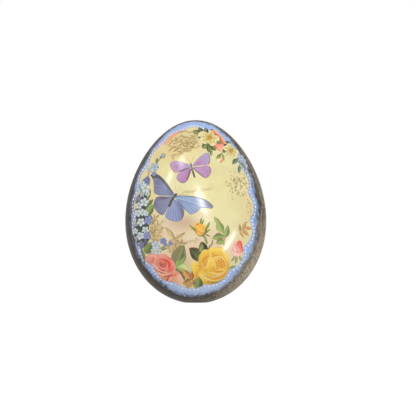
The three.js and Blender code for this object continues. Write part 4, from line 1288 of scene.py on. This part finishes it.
for patch, tone, to, fade in (
    ([(1.7, -31), (2.2, -28), (4.6, -24.8), (7.4, -24.2), (9.8, -26.4), (8.6, -31), (7.2, -35),
        (4.8, -36.2), (2.6, -35)], (240, 200, 84), (222, 166, 60), ((3, -26), (8, -33))),
    ([(8.4, -24.2), (10.2, -22.7), (13, -23.1), (17, -23.1), (19, -25.6), (16, -28.6), (12, -28.8),
        (9.4, -27.4)], (247, 216, 96), (232, 180, 72), ((13, -23), (13, -28.6))),
    ([(-3.1, -33.4), (-1.6, -32.1), (0.6, -32.4), (2.4, -34), (3.2, -37.4), (2.2, -40), (0.6, -43.4),
        (-0.8, -43.6), (-1.8, -39.4)], BRIGHT, (232, 172, 70), ((-2, -36), (2.6, -39))),
    ([(9, -29.6), (12.6, -29), (13.2, -33), (13.6, -37.6), (9, -38.4), (6, -37.6), (7.6, -34)],
        (244, 208, 88), (224, 172, 60), ((8, -32), (13, -36))),
    ([(17, -24), (19.6, -26.6), (21.8, -31.4), (21.4, -37.6), (19.2, -38.6), (20, -33), (18, -28.4)],
        (245, 210, 96), (226, 176, 70), ((21, -30), (18.6, -34))),
    ([(2.6, -38.6), (6, -38.4), (10, -40.6), (16, -40.8), (20.6, -38), (20.4, -41), (16.6, -45),
        (9.6, -46.4), (4.4, -44), (1.6, -41)], (240, 204, 86), (222, 166, 62), ((8, -44), (12, -39))),
):
    rose.area(patch, tone, 0.95, 0.4, to=to, fade=fade)
rose.washes([
    ((16.6, -33.2), (4.2, 4.6), (226, 168, 66), 0.9, 0, 0.7),
    ((5.2, -31.4), (1.6, 3.4), (232, 178, 70), 0.7, -24), ((11, -34), (2.4, 3), (246, 214, 96), 0.6, 10)])
rose.lines([([(4.7, -33), (5.2, -31), (6.2, -29.4), (8.2, -28.6)], 1, (222, 126, 50)),
        ([(10.4, -28.7), (12.5, -28.2), (14.6, -28)], 0.8, (206, 128, 52)),
        ([(10.8, -26.4), (11.3, -27)], 0.9, (198, 100, 44)),
        ([(12.2, -38), (13.4, -38.5), (14.8, -38.6), (17.2, -38.4)], 0.7, (208, 104, 46)),
        ([(6.9, -36.6), (6, -38.2)], 0.8, (204, 134, 52)),
        ([(6.2, -40.8), (8, -42), (10.4, -42.2)], 0.8, (204, 134, 56)),
        ([(9.6, -43.2), (13, -43.1), (15.8, -42.1)], 0.8, (216, 146, 56)),
        ([(0.3, -39.8), (0.6, -42.4)], 0.9, (226, 154, 60)),
        ([(0.4, -34.4), (2.4, -34.8), (3, -36.4)], 0.9, (224, 154, 64)),
        ([(1.8, -32.6), (2, -30), (2.6, -28)], 0.7, (204, 186, 76)),
        ([(13.8, -32), (13.4, -34.6), (14.2, -37)], 0.8, (212, 150, 56)),
        ([(19, -30), (19.6, -33), (18.8, -36.4)], 0.7, (214, 156, 62)),
        ([(5, -44.6), (9, -46), (13, -46)], 0.9, (206, 150, 58)),
        ([(3.4, -40), (6, -42.8), (9, -44.6)], 0.5, (214, 156, 62)),
        ([(13.8, -29.6), (12.6, -31.2), (14, -32.6)], 0.5, (216, 150, 62)),
        ([(6.8, -27), (7.2, -29.4), (6.8, -32)], 0.5, (220, 164, 66))], 0.85, 0.3)
for x, z, long, turn in (
    (15, -31.4, 1.5, 62), (16.4, -33.2, 1.7, 70), (18.2, -32.2, 1.5, 100), (17, -35.2, 1.4, 84),
    (15.2, -34.6, 1, 60), (18.6, -34.4, 1, 110), (16.6, -30.4, 1, 60),
):
    rose.wash((x, z), (long, 0.55), (220, 96, 56), 0.95, turn, 0.8)
    rose.wash((x + 0.5, z + 0.2), (long * 0.8, 0.28), (246, 204, 130), 0.8, turn, 0.8)
for ridge, wide in (
    ([(10, -26.4), (9.2, -29), (8.2, -31.6), (7.4, -34.2), (6.2, -36.6)], 0.75),
    ([(3.8, -32.8), (4.6, -34.8), (5.6, -36.4)], 0.5), ([(14.6, -28.6), (13, -30), (12.2, -31.4)], 0.6),
    ([(10, -30.4), (11.6, -32.4), (12.8, -34.2), (13, -36), (13.2, -38)], 0.55),
    ([(8.2, -38.6), (10.5, -39.3), (12.4, -40), (15, -40.2), (17.2, -39.6), (18.8, -38.5), (19.8, -37)],
        0.7), ([(2.6, -39.6), (5, -41.8), (7, -43.1), (9.4, -44)], 0.95),
    ([(10.6, -42.4), (14, -41.5), (16.8, -40.7)], 0.65), ([(12, -44.5), (15, -43.9), (17.8, -42.7)], 0.55),
    ([(12.6, -28.6), (15.4, -28.6), (17.8, -30.2), (19.4, -33), (19.2, -36.2)], 0.5),
    ([(13.2, -31.6), (14.4, -30.2), (16.4, -29.6)], 0.4),
    ([(14.6, -36.8), (16.6, -37.4), (18.6, -36)], 0.5), ([(17.6, -24), (19.8, -27), (21.4, -30.6)], 0.5),
    ([(4, -26.6), (5.4, -25), (7.6, -24.8)], 0.45), ([(-2.6, -33.6), (-1.4, -32.6), (0.4, -32.7)], 0.5),
    ([(5.4, -39.8), (8.4, -41.2), (11.6, -41.4)], 0.4), ([(20.6, -38.6), (19.2, -41.6), (16.4, -44.2)], 0.4),
):
    rose.line(ridge, wide, CREAM_EDGE, 0.68, 0.34)
rose.line([(8, -44.9), (12, -45.6), (16, -44.8), (19, -42.8)], 1.0, (112, 112, 62), 0.75, 0.4)
rose.line([(9.6, -46.4), (12, -46.7), (14.6, -46.2)], 0.7, (228, 156, 66), 0.9)
# Painted shade: the petals darken towards the cut edge.
rose.rim((206, 158, 62), 0.35, 0.4)
rose.glue(0.1)

# ---------------------------------------------------------------- the pink rose
# A coral-pink rose with a red, tightly rolled heart and one petal folded over below.
PETAL, DEEP_RED = (235, 162, 142), (174, 62, 54)
pink = CutOut("pink_rose", 3,
    [outline([(-32.5, -30), (-31.6, -28.6), (-30, -27.4), (-28, -26.7), (-26.4, -27.4), (-24, -27.8),
        (-22, -27.3), (-20, -27), (-18.2, -28.2), (-16.4, -29.6), (-14.7, -31.2), (-13.5, -33.5),
        (-12.7, -36), (-13, -37.6), (-11.4, -38.5), (-9.8, -40), (-8.6, -42), (-7.6, -44.2), (-8.4, -46.6),
        (-12, -47.6), (-18, -47), (-21, -45.4), (-23.4, -42), (-25, -38.9), (-27.4, -37.6), (-29.8, -36.4),
        (-31.2, -34.2), (-32.2, -32)])], PETAL, 0.24, trimmed=True)
for patch, tone, to, fade in (
    ([(-32.5, -30), (-31, -28), (-28, -26.7), (-25, -27.6), (-27, -31), (-28.6, -34), (-30.6, -35)],
        (236, 164, 148), (222, 132, 116), ((-30, -28), (-28, -33))),
    ([(-26.4, -27.4), (-22, -27.3), (-18.4, -28.2), (-15, -31), (-17, -32), (-20, -30.4), (-24, -30.6),
        (-26.4, -31.6)], (238, 164, 146), (226, 118, 102), ((-21, -27), (-20, -31))),
    ([(-15, -31), (-13.2, -34), (-12.8, -37.4), (-16, -39), (-18.6, -38.4), (-16.4, -35.6), (-16.4, -32.4)],
        (238, 158, 138), (224, 114, 96), ((-13.4, -34), (-17, -35))),
    ([(-25, -38.6), (-20, -40.2), (-16, -40), (-13, -38.4), (-12.6, -39.6), (-16, -41), (-20, -41.6),
        (-23.6, -40.8)], (242, 184, 160), (234, 160, 136), ((-20, -40), (-18, -42))),
    ([(-23.8, -41), (-19.4, -41.8), (-18.2, -44), (-18.8, -46.6), (-22.4, -44.2)], (236, 158, 98),
        (224, 134, 84), ((-22, -41), (-20, -45))),
    ([(-17.8, -45.8), (-15.6, -42.6), (-12.6, -41.6), (-10, -40), (-8.6, -42), (-7.6, -44.4), (-9, -47),
        (-14, -47.2)], (230, 172, 142), (244, 200, 168), ((-15, -44), (-9, -43))),
):
    pink.area(patch, tone, 0.95, 0.4, to=to, fade=fade)
pink.wash((-21, -33.8), (5.4, 4.4), (222, 106, 90), 0.9, -20, 0.7)
pink.lines([([(-20.6, -31), (-18.2, -31.6), (-16.9, -34), (-17.2, -36.4)], 1.7, (222, 72, 58)),
        ([(-24.2, -36.2), (-22, -37.6), (-19.4, -38)], 1.0, DEEP_RED),
        ([(-24, -38), (-22, -39.2), (-19.6, -39.6)], 0.7, (158, 68, 58)),
        ([(-30.2, -33.6), (-28.6, -36.6)], 1.0, (184, 92, 76)),
        ([(-29.4, -35), (-26.4, -36.9), (-24.2, -38.8)], 0.9, (214, 128, 84)),
        ([(-20.2, -41.7), (-17, -41.4), (-14.2, -40.2)], 1.0, (178, 72, 58)),
        ([(-17.4, -41.6), (-18, -43.6), (-19, -45.4)], 0.9, (170, 70, 54)),
        ([(-27, -29.6), (-27.6, -32), (-27, -34.4)], 0.6, (196, 100, 86)),
        ([(-25.6, -31), (-24.6, -34), (-22.6, -36.2)], 0.7, (196, 84, 72)),
        ([(-23.6, -31), (-22, -30.4), (-20, -30.4)], 0.5, (190, 84, 74)),
        ([(-22.8, -32.2), (-22.6, -34.6), (-21, -35.6)], 0.5, DEEP_RED),
        ([(-21.4, -32), (-19.8, -32.6), (-19.4, -34.4), (-20.4, -35.8)], 0.5, DEEP_RED),
        ([(-15.4, -37.8), (-14, -36.4), (-13.6, -34.4)], 0.5, (206, 104, 88)),
        ([(-12.2, -39), (-14, -42.6), (-16, -44.6)], 0.5, (214, 130, 104))], 0.9, 0.3)
pink.wash((-21.4, -33.8), (1.3, 1.1), (146, 84, 84), 1, 0, 0.7)
pink.wash((-21.6, -33.5), (0.5, 0.5), (214, 160, 156), 0.8)
pink.lines([([(-28.2, -33.2), (-26, -35.2), (-24.2, -36.8), (-22.4, -38.1), (-20.8, -38.8), (-18.6, -39.2)],
        0.9, (246, 196, 168)), ([(-32, -30.6), (-31.2, -33), (-29.4, -35.2)], 0.7, (246, 190, 168)),
        ([(-29.6, -28.4), (-26.6, -28.4), (-24.8, -29.6)], 0.5, (248, 194, 174)),
        ([(-23.6, -30.2), (-21, -29.2), (-18.4, -30), (-16.6, -32)], 0.5, (248, 176, 156)),
        ([(-24.8, -32), (-24, -34.4), (-22, -36.4), (-19.6, -36.8)], 0.5, (246, 178, 158)),
        ([(-18.4, -33), (-18.6, -35.4), (-20, -36.6)], 0.4, (246, 160, 144)),
        ([(-22, -32.8), (-21, -32.2), (-20, -33)], 0.35, (240, 170, 160)),
        ([(-13.2, -34), (-13, -36.6), (-15, -38.4)], 0.5, (248, 190, 164)),
        ([(-18.2, -46), (-16.2, -43.4), (-13, -41.6)], 0.6, (250, 196, 150)),
        ([(-26.2, -28), (-25.4, -30.4), (-26, -33)], 0.4, (246, 186, 166))], 0.85, 0.24)
pink.wash((-14, -41), (2, 1.1), (226, 104, 70), 1, 28, 0.5)
pink.wash((-14, -40.9), (1.5, 0.75), (250, 160, 108), 1, 28, 0.6)
# Painted shade: the petals darken towards the cut edge.
pink.rim((222, 132, 112), 0.35, 0.4)
pink.glue(0.1)

# ---------------------------------------------------------------- the forget-me-nots
# A tall spray of forget-me-nots climbs over the frame's left side: pale and violet florets
# with yellow eyes, crowded over near-black gaps. A small tuft of them sits by its foot.
PALE_BLUE, VIOLET, NAVY, GAP = (198, 210, 214), (138, 146, 196), (104, 116, 164), (66, 68, 62)
# The florets of the spray: centre, radius, petal colour.
FLORETS = [(-31.3, 20.3, 2.4, NAVY), (-34.6, 18.4, 1.9, PALE_BLUE), (-32.4, 15.2, 3, PALE_BLUE),
    (-34.6, 11.2, 1.7, (176, 180, 190)), (-30.9, 11.6, 1.6, (190, 202, 196)),
    (-37, 8.6, 1.9, (128, 126, 160)), (-33, 6.2, 2.9, PALE_BLUE), (-36.6, 4, 2.4, PALE_BLUE),
    (-37.1, -0.8, 2.5, PALE_BLUE), (-34, -0.4, 2.5, PALE_BLUE), (-31.8, -1.2, 1.7, PALE_BLUE),
    (-35.3, -6.6, 2.8, PALE_BLUE), (-30.5, -5.5, 2.9, VIOLET), (-38.6, -8, 1.5, (160, 166, 180)),
    (-32.3, -11.8, 2.5, PALE_BLUE), (-39.1, -12.4, 2.1, PALE_BLUE), (-31.5, -15.2, 2.7, VIOLET),
    (-35.7, -15.4, 2.7, PALE_BLUE), (-38.4, -17.2, 1.5, (150, 150, 160)),
    (-35.3, -21.1, 2.7, (116, 116, 156)), (-32, -19, 1.5, (92, 96, 108))]
leaves = [((-25.2, 31.2), (-24.8, 35), 1.9, 0, (66, 92, 56), (108, 132, 82)),
    ((-31, 7.6), (-29, 15), 2, 0, (76, 106, 56), (124, 148, 84)),
    ((-31.4, 4), (-27.2, 8.2), 2.4, 0, (68, 84, 50), (98, 112, 66)),
    ((-31.6, -2.8), (-26.8, 5), 5, 0.4, (96, 116, 62), (146, 166, 98))]
spray = CutOut("forget_me_not_spray", 3,
    [outline([(-31, 23.2), (-29.4, 21.6), (-29.6, 18.6), (-30, 15.6), (-29.8, 12), (-30.6, 9), (-30.2, 5),
        (-30.4, 1.4), (-29, -1.6), (-27.6, -4), (-28.4, -7), (-30, -9), (-29.8, -13), (-28.8, -16),
        (-30.6, -19.4), (-32.8, -22.6), (-35.4, -23.8), (-37.8, -21), (-39.4, -17.6), (-40.9, -13),
        (-39.6, -9), (-38.4, -5), (-39.4, -1), (-39, 3), (-39, 8), (-37.6, 10.6), (-36, 12.6), (-36.4, 17),
        (-35.4, 20), (-33.4, 21.4)]),
        stem([(-20.8, 36.4), (-23.6, 33.6), (-26.4, 30.6), (-29.2, 27.2), (-31.4, 22)], 0.5),
        blossom((-21, 36.4), 1.5, 4, 0.4), blossom((-22.3, 35.4), 0.9), blossom((-26.4, 29.2), 2.7),
        blossom((-29.9, 27.4), 1.9), blossom((-26.8, 24.6), 1.6), *leaf_cuts(leaves),
        stem([(-35, -23), (-34.2, -28), (-32.6, -34)], 0.9)], (126, 134, 128), 0.24)
spray.area([(-34.6, 13), (-30.8, 9), (-29.8, 2), (-30, -4), (-30, -12), (-30.4, -19), (-34.6, -23.4),
        (-38.4, -19), (-40, -12), (-38.6, -4), (-38.6, 4), (-37, 9)], GAP, 0.92, 0.5)
spray.area([(-33, 22.6), (-29.4, 22), (-29.8, 15), (-31, 11), (-35.6, 12.6), (-36.2, 17)], (150, 158, 150),
    0.9, 0.5)
spray.leaves(leaves, (170, 184, 116), margin=(0.1, 0.1, 0.1, 0.2))
spray.line([(-20.8, 36.4), (-23.6, 33.6), (-26.4, 30.6), (-29.2, 27.2), (-31.4, 22)], 0.4, (150, 160, 120),
    0.8)
spray.line([(-35, -23), (-34.2, -28), (-32.6, -34)], 0.8, (116, 124, 84), 1)
spray.wash((-21, 36.4), (1.4, 1), (166, 184, 206), 1, 40, 0.4)
for x, z, radius, petal in FLORETS + [(-26.4, 29.2, 2.7, (176, 192, 214)),
    (-29.9, 27.4, 1.9, (190, 198, 204)), (-26.8, 24.6, 1.6, VIOLET)]:
    turn = luck.uniform(0, 1.2)
    spray.floret((x, z), radius, petal, (206, 196, 70) if petal is PALE_BLUE else (200, 176, 104), turn)
for x, z in (
    (-34.5, 2.4), (-35.3, -2.2), (-32.6, -4), (-36.9, -4.4), (-37.4, -9.8), (-34.8, -10.3), (-36.6, -12.9),
    (-33.8, -13.2), (-37.8, -15.2), (-33.9, -18),
):
    spray.wash((x, z), (0.8, 0.6), (50, 52, 48), 0.95, luck.uniform(0, 180), 0.6)
spray.wash((-39, 3.4), (1.1, 2.4), (235, 186, 130), 0.9, 0, 0.5)
spray.glue(0.14)

tuft = CutOut("forget_me_not_tuft", 2,
    [outline([(-33.4, -22.6), (-32, -20.8), (-29.6, -19.8), (-28, -19.6), (-27.8, -23), (-28, -26.8),
        (-31, -27.4), (-33.2, -26)]), blossom((-25.7, -21.4), 2.9), blossom((-24.6, -25.2), 2.6),
        blossom((-27, -25), 2), blossom((-20.8, -18.8), 2.3), blossom((-19.4, -21), 1.3),
        blossom((-16, -20.3), 1.5, 4), leaf((-23, -24.2), (-18.2, -23.6), 2.3, 0.3),
        stem([(-24.6, -23.6), (-22, -23), (-20, -21)], 0.5),
        stem([(-22, -23), (-18.6, -22), (-16.2, -20.8)], 0.45)], (150, 158, 140), 0.24, trimmed=True)
tuft.leaf((-32.8, -26.8), (-28.4, -19.6), 6, (98, 112, 60), (136, 150, 84), (166, 176, 112))
tuft.leaf((-23, -24.2), (-18.2, -23.6), 2.2, (84, 104, 58), (134, 150, 92), (176, 186, 126), None, 0.3)
for x, z, radius, petal in (
    (-27, -25, 2, (196, 204, 206)), (-24.6, -25.2, 2.6, (194, 204, 208)),
    (-25.7, -21.4, 2.9, (186, 200, 214)), (-20.8, -18.8, 2.2, (122, 132, 196)),
    (-19.4, -21, 1.3, (118, 130, 190)), (-16, -20.3, 1.4, (116, 130, 196)),
):
    tuft.floret((x, z), radius, petal, (196, 204, 90))
tuft.wash((-25.4, -24.2), (0.7, 1.6), (240, 200, 160), 0.8, 80)
tuft.glue(0.14)

# ---------------------------------------------------------------- the garland
# Cream dog roses, a coral rose, buds and dark leaves make a garland at the upper right,
# pasted over the frame's scallops, with pale bellflowers trailing from its end.
petal_slip = CutOut("coral_petal", 2,
    [outline([(-21, 43.6), (-20.4, 46), (-18, 49.4), (-14, 52), (-9.6, 53.6), (-6.4, 54), (-8.4, 52.2),
        (-12, 50.4), (-14.6, 48.6), (-16.8, 47.2), (-17.6, 44.4), (-19.4, 43.8)])], (238, 182, 138), 0.26,
    trimmed=True)
petal_slip.lines([
    ([(-17.6, 46), (-15.4, 48.6), (-12, 50.6), (-8, 52.8)], 1.3, (230, 140, 108), 0.75, 0.6),
    ([(-20.6, 44.4), (-18.6, 48), (-14.6, 51.2), (-9.6, 53.2)], 1, (248, 200, 156), 0.8, 0.5),
    ([(-15.6, 47.4), (-13, 49.6), (-9.4, 51.4)], 0.5, (196, 120, 84), 0.7)])
petal_slip.glue(0.14, 0.02)

leaves = [((3, 51), (-1.8, 52.9), 3, 0.3, (88, 92, 54), (146, 150, 84)),
    ((4.4, 50.6), (1.8, 54.8), 3.4, 0, (58, 64, 42), (92, 96, 60)),
    ((7.2, 50.8), (6.2, 54.6), 3.2, 0, (54, 62, 42), (84, 92, 58)),
    ((9.6, 51), (10.8, 53.9), 2.6, 0, (56, 66, 44), (84, 94, 60)),
    ((4.4, 48.8), (1.4, 48), 1.8, 0, (80, 88, 52), (116, 120, 74)),
    ((8.4, 44.8), (3.9, 41.2), 4.8, 0.3, (88, 96, 54), (142, 150, 84)),
    ((8.8, 42.4), (10, 35.8), 2.2, 0.4, (96, 108, 66), (142, 152, 92)),
    ((8.4, 44.4), (8.2, 38.2), 2.6, 0, (72, 80, 48), (116, 124, 70)),
    ((8.6, 44.6), (13.2, 39.6), 4.2, 0.3, (74, 82, 48), (140, 144, 84)),
    ((18.4, 43.6), (22.9, 44.8), 3.2, 0.4, (54, 60, 42), (86, 92, 60)),
    ((19, 41.6), (18.4, 37.8), 2.2, 0, (84, 100, 72), (120, 132, 96))]
stalk = stem([(1.4, 51), (5, 49), (9, 45), (15, 43.8), (19.4, 43.2), (20.6, 40.6)], 2)
garland = CutOut("garland_leaves", 3, [stalk, *leaf_cuts(leaves)], (62, 66, 44), 0.26)
garland.leaves(leaves, (150, 158, 96))
garland.line([(1.4, 51), (5, 49), (9, 45), (10, 44)], 1, (96, 84, 60), 0.8)
garland.glue(0.16)

leaves = [(*place, (72, 88, 56), (122, 134, 84)) for place in (((27.4, 34.4), (23.6, 30.6), 3, -0.3),
    ((28.6, 30.6), (27.8, 24.6), 2.1, 0), ((27.8, 33.2), (32.6, 27.2), 1.9, 0.3))]
bells = CutOut("bellflower_sprig", 3,
    [stem([(27, 35.6), (29, 31.8), (31.4, 28), (33.2, 23.6)], 0.8), *leaf_cuts(leaves),
        blossom((29.4, 35.2), 1.7), blossom((30.6, 32.8), 2, 5, 0.4), blossom((28.8, 33), 1.8),
        blossom((32, 29.8), 1.8), blossom((32.6, 26.2), 1.2), blossom((28, 36.6), 1.1)], (158, 174, 198),
    0.24)
for x, z, radius in (
    (28, 36.6, 1.1), (29.4, 35.2, 1.7), (30.6, 32.8, 2), (28.8, 33, 1.8), (32, 29.8, 1.8), (32.6, 26.2, 1.2),
):
    bells.floret((x, z), radius, (170, 188, 214), (206, 208, 200), luck.uniform(0, 1),
        between=(128, 140, 150))
bells.leaves(leaves, (150, 160, 110), margin=(0.2, 0.2, 0.3))
bells.line([(27, 35.6), (29, 31.8), (31.4, 28), (33.2, 23.6)], 0.4, (120, 128, 110), 0.8)
bells.glue(0.14)

leaves = [(*place, (84, 96, 56), (152, 160, 88)) for place in (((17.2, 37.8), (12.8, 33.8), 1.9, -0.3),
    ((17.2, 37.6), (18.4, 32.6), 1.6, 0.2), ((16.4, 36.8), (14.8, 34), 1.4, 0))]
coral_bud = CutOut("coral_bud", 2,
    [outline([(14.6, 34.8), (15.8, 36.4), (17.2, 36.2), (18.4, 34.4), (17.8, 32.8), (16.6, 31.6),
        (15.3, 31.4), (14.9, 33)]), *leaf_cuts(leaves), stem([(16.8, 36.6), (17.6, 39.4)], 0.6)],
    (226, 208, 150), 0.22)
coral_bud.wash((15.2, 33.8), (0.9, 1.6), (242, 230, 182), 1, 0, 0.5)
coral_bud.wash((16.8, 33), (1.0, 1.9), (240, 138, 116), 1, -34, 0.5)
coral_bud.line([(17.6, 34.2), (16.4, 32.2)], 0.4, (250, 180, 156), 0.8)
coral_bud.leaves(leaves, (176, 182, 112), margin=(0.1, 0.2, 0.2))
coral_bud.line([(16.6, 36.8), (17.6, 39.4)], 0.5, (104, 116, 72), 1)
coral_bud.glue(0.12)

TOP_PETAL = [(11, 52.4), (11.6, 53.6), (13.4, 52.8), (15, 51), (15.8, 49), (15, 47.8), (12.6, 49.4),
    (11.4, 50.8)]
MID_PETAL = [(15.2, 47.6), (15.8, 49.2), (17.2, 48.6), (18.8, 46.4), (19.3, 44.2), (18, 43.4), (16.6, 44.6),
    (15.6, 46)]
LOW_PETAL = [(12, 43.4), (13.4, 44.4), (15.6, 44.2), (17.8, 43.8), (18, 42), (17.4, 39.8), (16, 39.2),
    (14, 40.4), (12.6, 42)]
coral = CutOut("coral_rose", 4,
    [outline(TOP_PETAL), outline(MID_PETAL), outline(LOW_PETAL), leaf((12.4, 45.8), (17.4, 44.2), 2.2),
        outline([(11.6, 51), (14, 49.4), (16, 46), (17, 43.6), (14, 43.8), (12, 46)])], (206, 106, 74),
    0.22)
coral.area(TOP_PETAL, (246, 206, 156), to=(222, 112, 78), fade=((14.6, 52), (12.6, 49.8)))
coral.area(MID_PETAL, (248, 196, 148), to=(226, 108, 84), fade=((18.8, 47), (16.2, 45.6)))
coral.area(LOW_PETAL, (238, 128, 106), to=(246, 182, 146), fade=((13.6, 43.8), (17.2, 40)))
coral.line([(13, 43.4), (15, 41.6), (16.6, 39.8)], 0.5, (248, 196, 160), 0.8, 0.3)
coral.line([(11.8, 50.8), (14, 49.2), (15.6, 46.8), (17.4, 43.8)], 0.6, (186, 78, 56), 0.85, 0.3)
coral.leaf((12.4, 45.8), (17.4, 44.2), 2.1, (84, 98, 54), (136, 148, 84), (160, 170, 108))
coral.wash((18.4, 43.6), (0.9, 0.6), (58, 46, 40), 0.9)
coral.wash((15.7, 47.6), (0.5, 0.7), (70, 46, 38), 0.9)
coral.glue(0.12)

DOG_PETAL, DOG_EDGE = (226, 214, 150), (246, 240, 202)


def dog_rose(name, shape, heart, size, turn, pollen):
    """An open five-petalled rose: cream petals, golden towards a tuft of stamens."""
    flower = CutOut(name, 5, [outline(shape)], DOG_PETAL, 0.22)
    heart = np.array(heart, float)
    flower.rim(DOG_EDGE, 1.1, 0.85)
    # Painted shade: a thin darker line along the cut edge, inside the pale printed rim.
    flower.rim((196, 186, 122), 0.35, 0.6)
    for k in range(5):
        gap, petal = turn + k * 2 * math.pi / 5, turn + (k + 0.5) * 2 * math.pi / 5
        way = heading(gap) * size
        flower.line([heart + way * 0.5, heart + way * 1.15], 0.6, (176, 158, 92), 0.85, 0.4)
        way = heading(petal) * size
        bowl = (size * 0.46, size * 0.3)
        flower.wash(heart + way * 0.62, bowl, (206, 168, 78), 0.8, math.degrees(petal))
        flower.line([heart + way * 0.3, heart + way], 0.3, (214, 196, 124), 0.6, 0.25)
    flower.wash(heart, (size * 0.66, size * 0.56), (206, 166, 62), 0.9, 20, 0.9)
    flower.wash(heart, (size * 0.4, size * 0.36), pollen, 0.95, 20, 0.8)
    for k in range(22):
        way = heading(luck.uniform(0, 2 * math.pi))
        tip = heart + way * size * luck.uniform(0.16, 0.42)
        flower.line([heart, tip], 0.22, (216, 168, 70), 0.5, 0.12)
        flower.wash(tip, 0.32, (140, 92, 34), 0.95, soft=0.8)
    flower.wash(heart, size * 0.12, (168, 158, 74), 0.9)
    flower.glue(0.12)


dog_rose("large_dog_rose",
    [(1.5, 50.2), (3.2, 51.8), (5.8, 52), (7.5, 50.9), (8.2, 52.2), (9.8, 52.7), (11.5, 51.4), (12, 49.7),
        (13.6, 49.3), (15.1, 48.1), (15.4, 46.6), (14.2, 45.8), (13.3, 45.9), (13.4, 44.4), (12.1, 42.9),
        (9.7, 42.6), (8.1, 44.4), (6.2, 43.7), (4, 44.8), (2.8, 46.9), (3.4, 48.3), (1.9, 48.9)], (8.9, 48),
    5, 0.5, (184, 122, 40))
dog_rose("small_dog_rose",
    [(17.5, 41.4), (18.6, 42.6), (19.7, 43), (21, 44.4), (22.8, 43.6), (23.8, 42.2), (25.2, 41.5),
        (26.4, 40.4), (27.8, 38.7), (27.2, 37.2), (26.9, 35.6), (25.2, 34.2), (23.6, 35.1), (21.9, 34.9),
        (20.2, 36), (19.5, 37.7), (19.8, 39.2), (18.2, 40.1)], (22.7, 39.7), 3.9, 0.2, (150, 124, 44))

# ---------------------------------------------------------------- the studio
# The egg stands on a plain pale floor with white all round it. Each lamp stands where the
# lacquer mirrors it: a tall window with its bright core and wide glow, a thin glint low on
# the right, and two soft ones high on the left. All but the window show in the gloss only.
VIEW_WIDTH = 272.2
CAMERA_DISTANCE = 3000.0
AIM = (8.0, MIDDLE + 2.5)

camera_data = bpy.data.cameras.new("camera")
camera_data.sensor_width = 36
camera_data.lens = 36 * CAMERA_DISTANCE / VIEW_WIDTH
camera_data.clip_end = 50
camera = put("camera", camera_data)
camera.location = (AIM[0] * MM, -CAMERA_DISTANCE * MM, AIM[1] * MM)
camera.rotation_euler = (math.pi / 2, 0, 0)
bpy.context.scene.camera = camera


def seen_directly(tree):
    """1 where a thing is looked at, mirrored or seen through, and 0 where it only lights."""
    ray = add_node(tree, "ShaderNodeLightPath").outputs
    mirrored = calc(tree, "MAXIMUM", ray["Is Glossy Ray"], ray["Is Transmission Ray"])
    return calc(tree, "MAXIMUM", ray["Is Camera Ray"], mirrored)


world = bpy.data.worlds.new("white_room")
world.use_nodes = True
tree = world.node_tree
sky = tree.nodes["Background"]
sky.inputs["Color"].default_value = (1, 1, 1, 1)
ROOM_LIGHT = 0.86  # what the white room gives, where it looks pure white
strength = calc(tree, "MULTIPLY_ADD", seen_directly(tree), 1 - ROOM_LIGHT, ROOM_LIGHT)
tree.links.new(strength, sky.inputs["Strength"])
bpy.context.scene.world = world

floor_mesh = bpy.data.meshes.new("floor")
FLOOR_REACH = 4.0  # metres each way
corners = [(x * FLOOR_REACH, y * FLOOR_REACH, 0) for x, y in ((-1, -1), (1, -1), (1, 1), (-1, 1))]
floor_mesh.from_pydata(corners, [], [(0, 1, 2, 3)])
floor = put("floor", floor_mesh)
pale = bpy.data.materials.new("pale_floor")
pale.use_nodes = True
tree = pale.node_tree
matt = tree.nodes["Principled BSDF"]
matt.inputs["Roughness"].default_value = 0.9
matt.inputs["Specular IOR Level"].default_value = 0.0
seen = seen_directly(tree)
floor_colour = blend_colour(tree, seen, srgb((240, 238, 236)), srgb((105, 105, 105)))
tree.links.new(floor_colour, matt.inputs["Base Color"])
matt.inputs["Emission Color"].default_value = (1, 1, 1, 1)
tree.links.new(calc(tree, "MULTIPLY", seen, 0.94), matt.inputs["Emission Strength"])
floor_mesh.materials.append(pale)


def lamp(name, glint, size, power, distance=1000.0, turn=0.0, only_gloss=False):
    """A soft lamp that the front of the egg mirrors at a given place."""
    point, facing = on_egg(to_sheet(glint))
    facing, to_camera = facing[0], np.array([0.0, -1.0, 0.0])
    way = facing * 2 * (facing @ to_camera) - to_camera
    place = point[0] + way * distance
    data = bpy.data.lights.new(name, "AREA")
    data.shape, data.size, data.size_y, data.energy = "ELLIPSE", size[0] * MM, size[1] * MM, power
    made = put(name, data)
    made.location = place * MM
    made.rotation_mode = "QUATERNION"
    made.rotation_quaternion = Vector(-way).to_track_quat("-Z", "Y")
    made.rotation_mode = "XYZ"
    made.rotation_euler.rotate_axis("Z", math.radians(turn))
    made.visible_diffuse = not only_gloss
    made.visible_camera = False
    return made


lamp("window", (4.0, 5.5), (150, 560), 2.2, turn=30)
lamp("window_glint", (3.6, 6.5), (90, 480), 7.5, turn=30, only_gloss=True)
lamp("window_glow", (4.4, 5.0), (380, 860), 8.0, turn=30, only_gloss=True)
near_glint = lamp("near_glint", (21.3, -20.5), (9, 54), 0.06, distance=64, turn=-30, only_gloss=True)
near_glint.data.color = (0.85, 0.94, 1)
lamp("soft_lamp", (-9, 33), (220, 190), 3.4, only_gloss=True)
lamp("low_soft_lamp", (-17, 22.5), (130, 210), 3.0, only_gloss=True)

bpy.context.scene.view_settings.view_transform = "Standard"
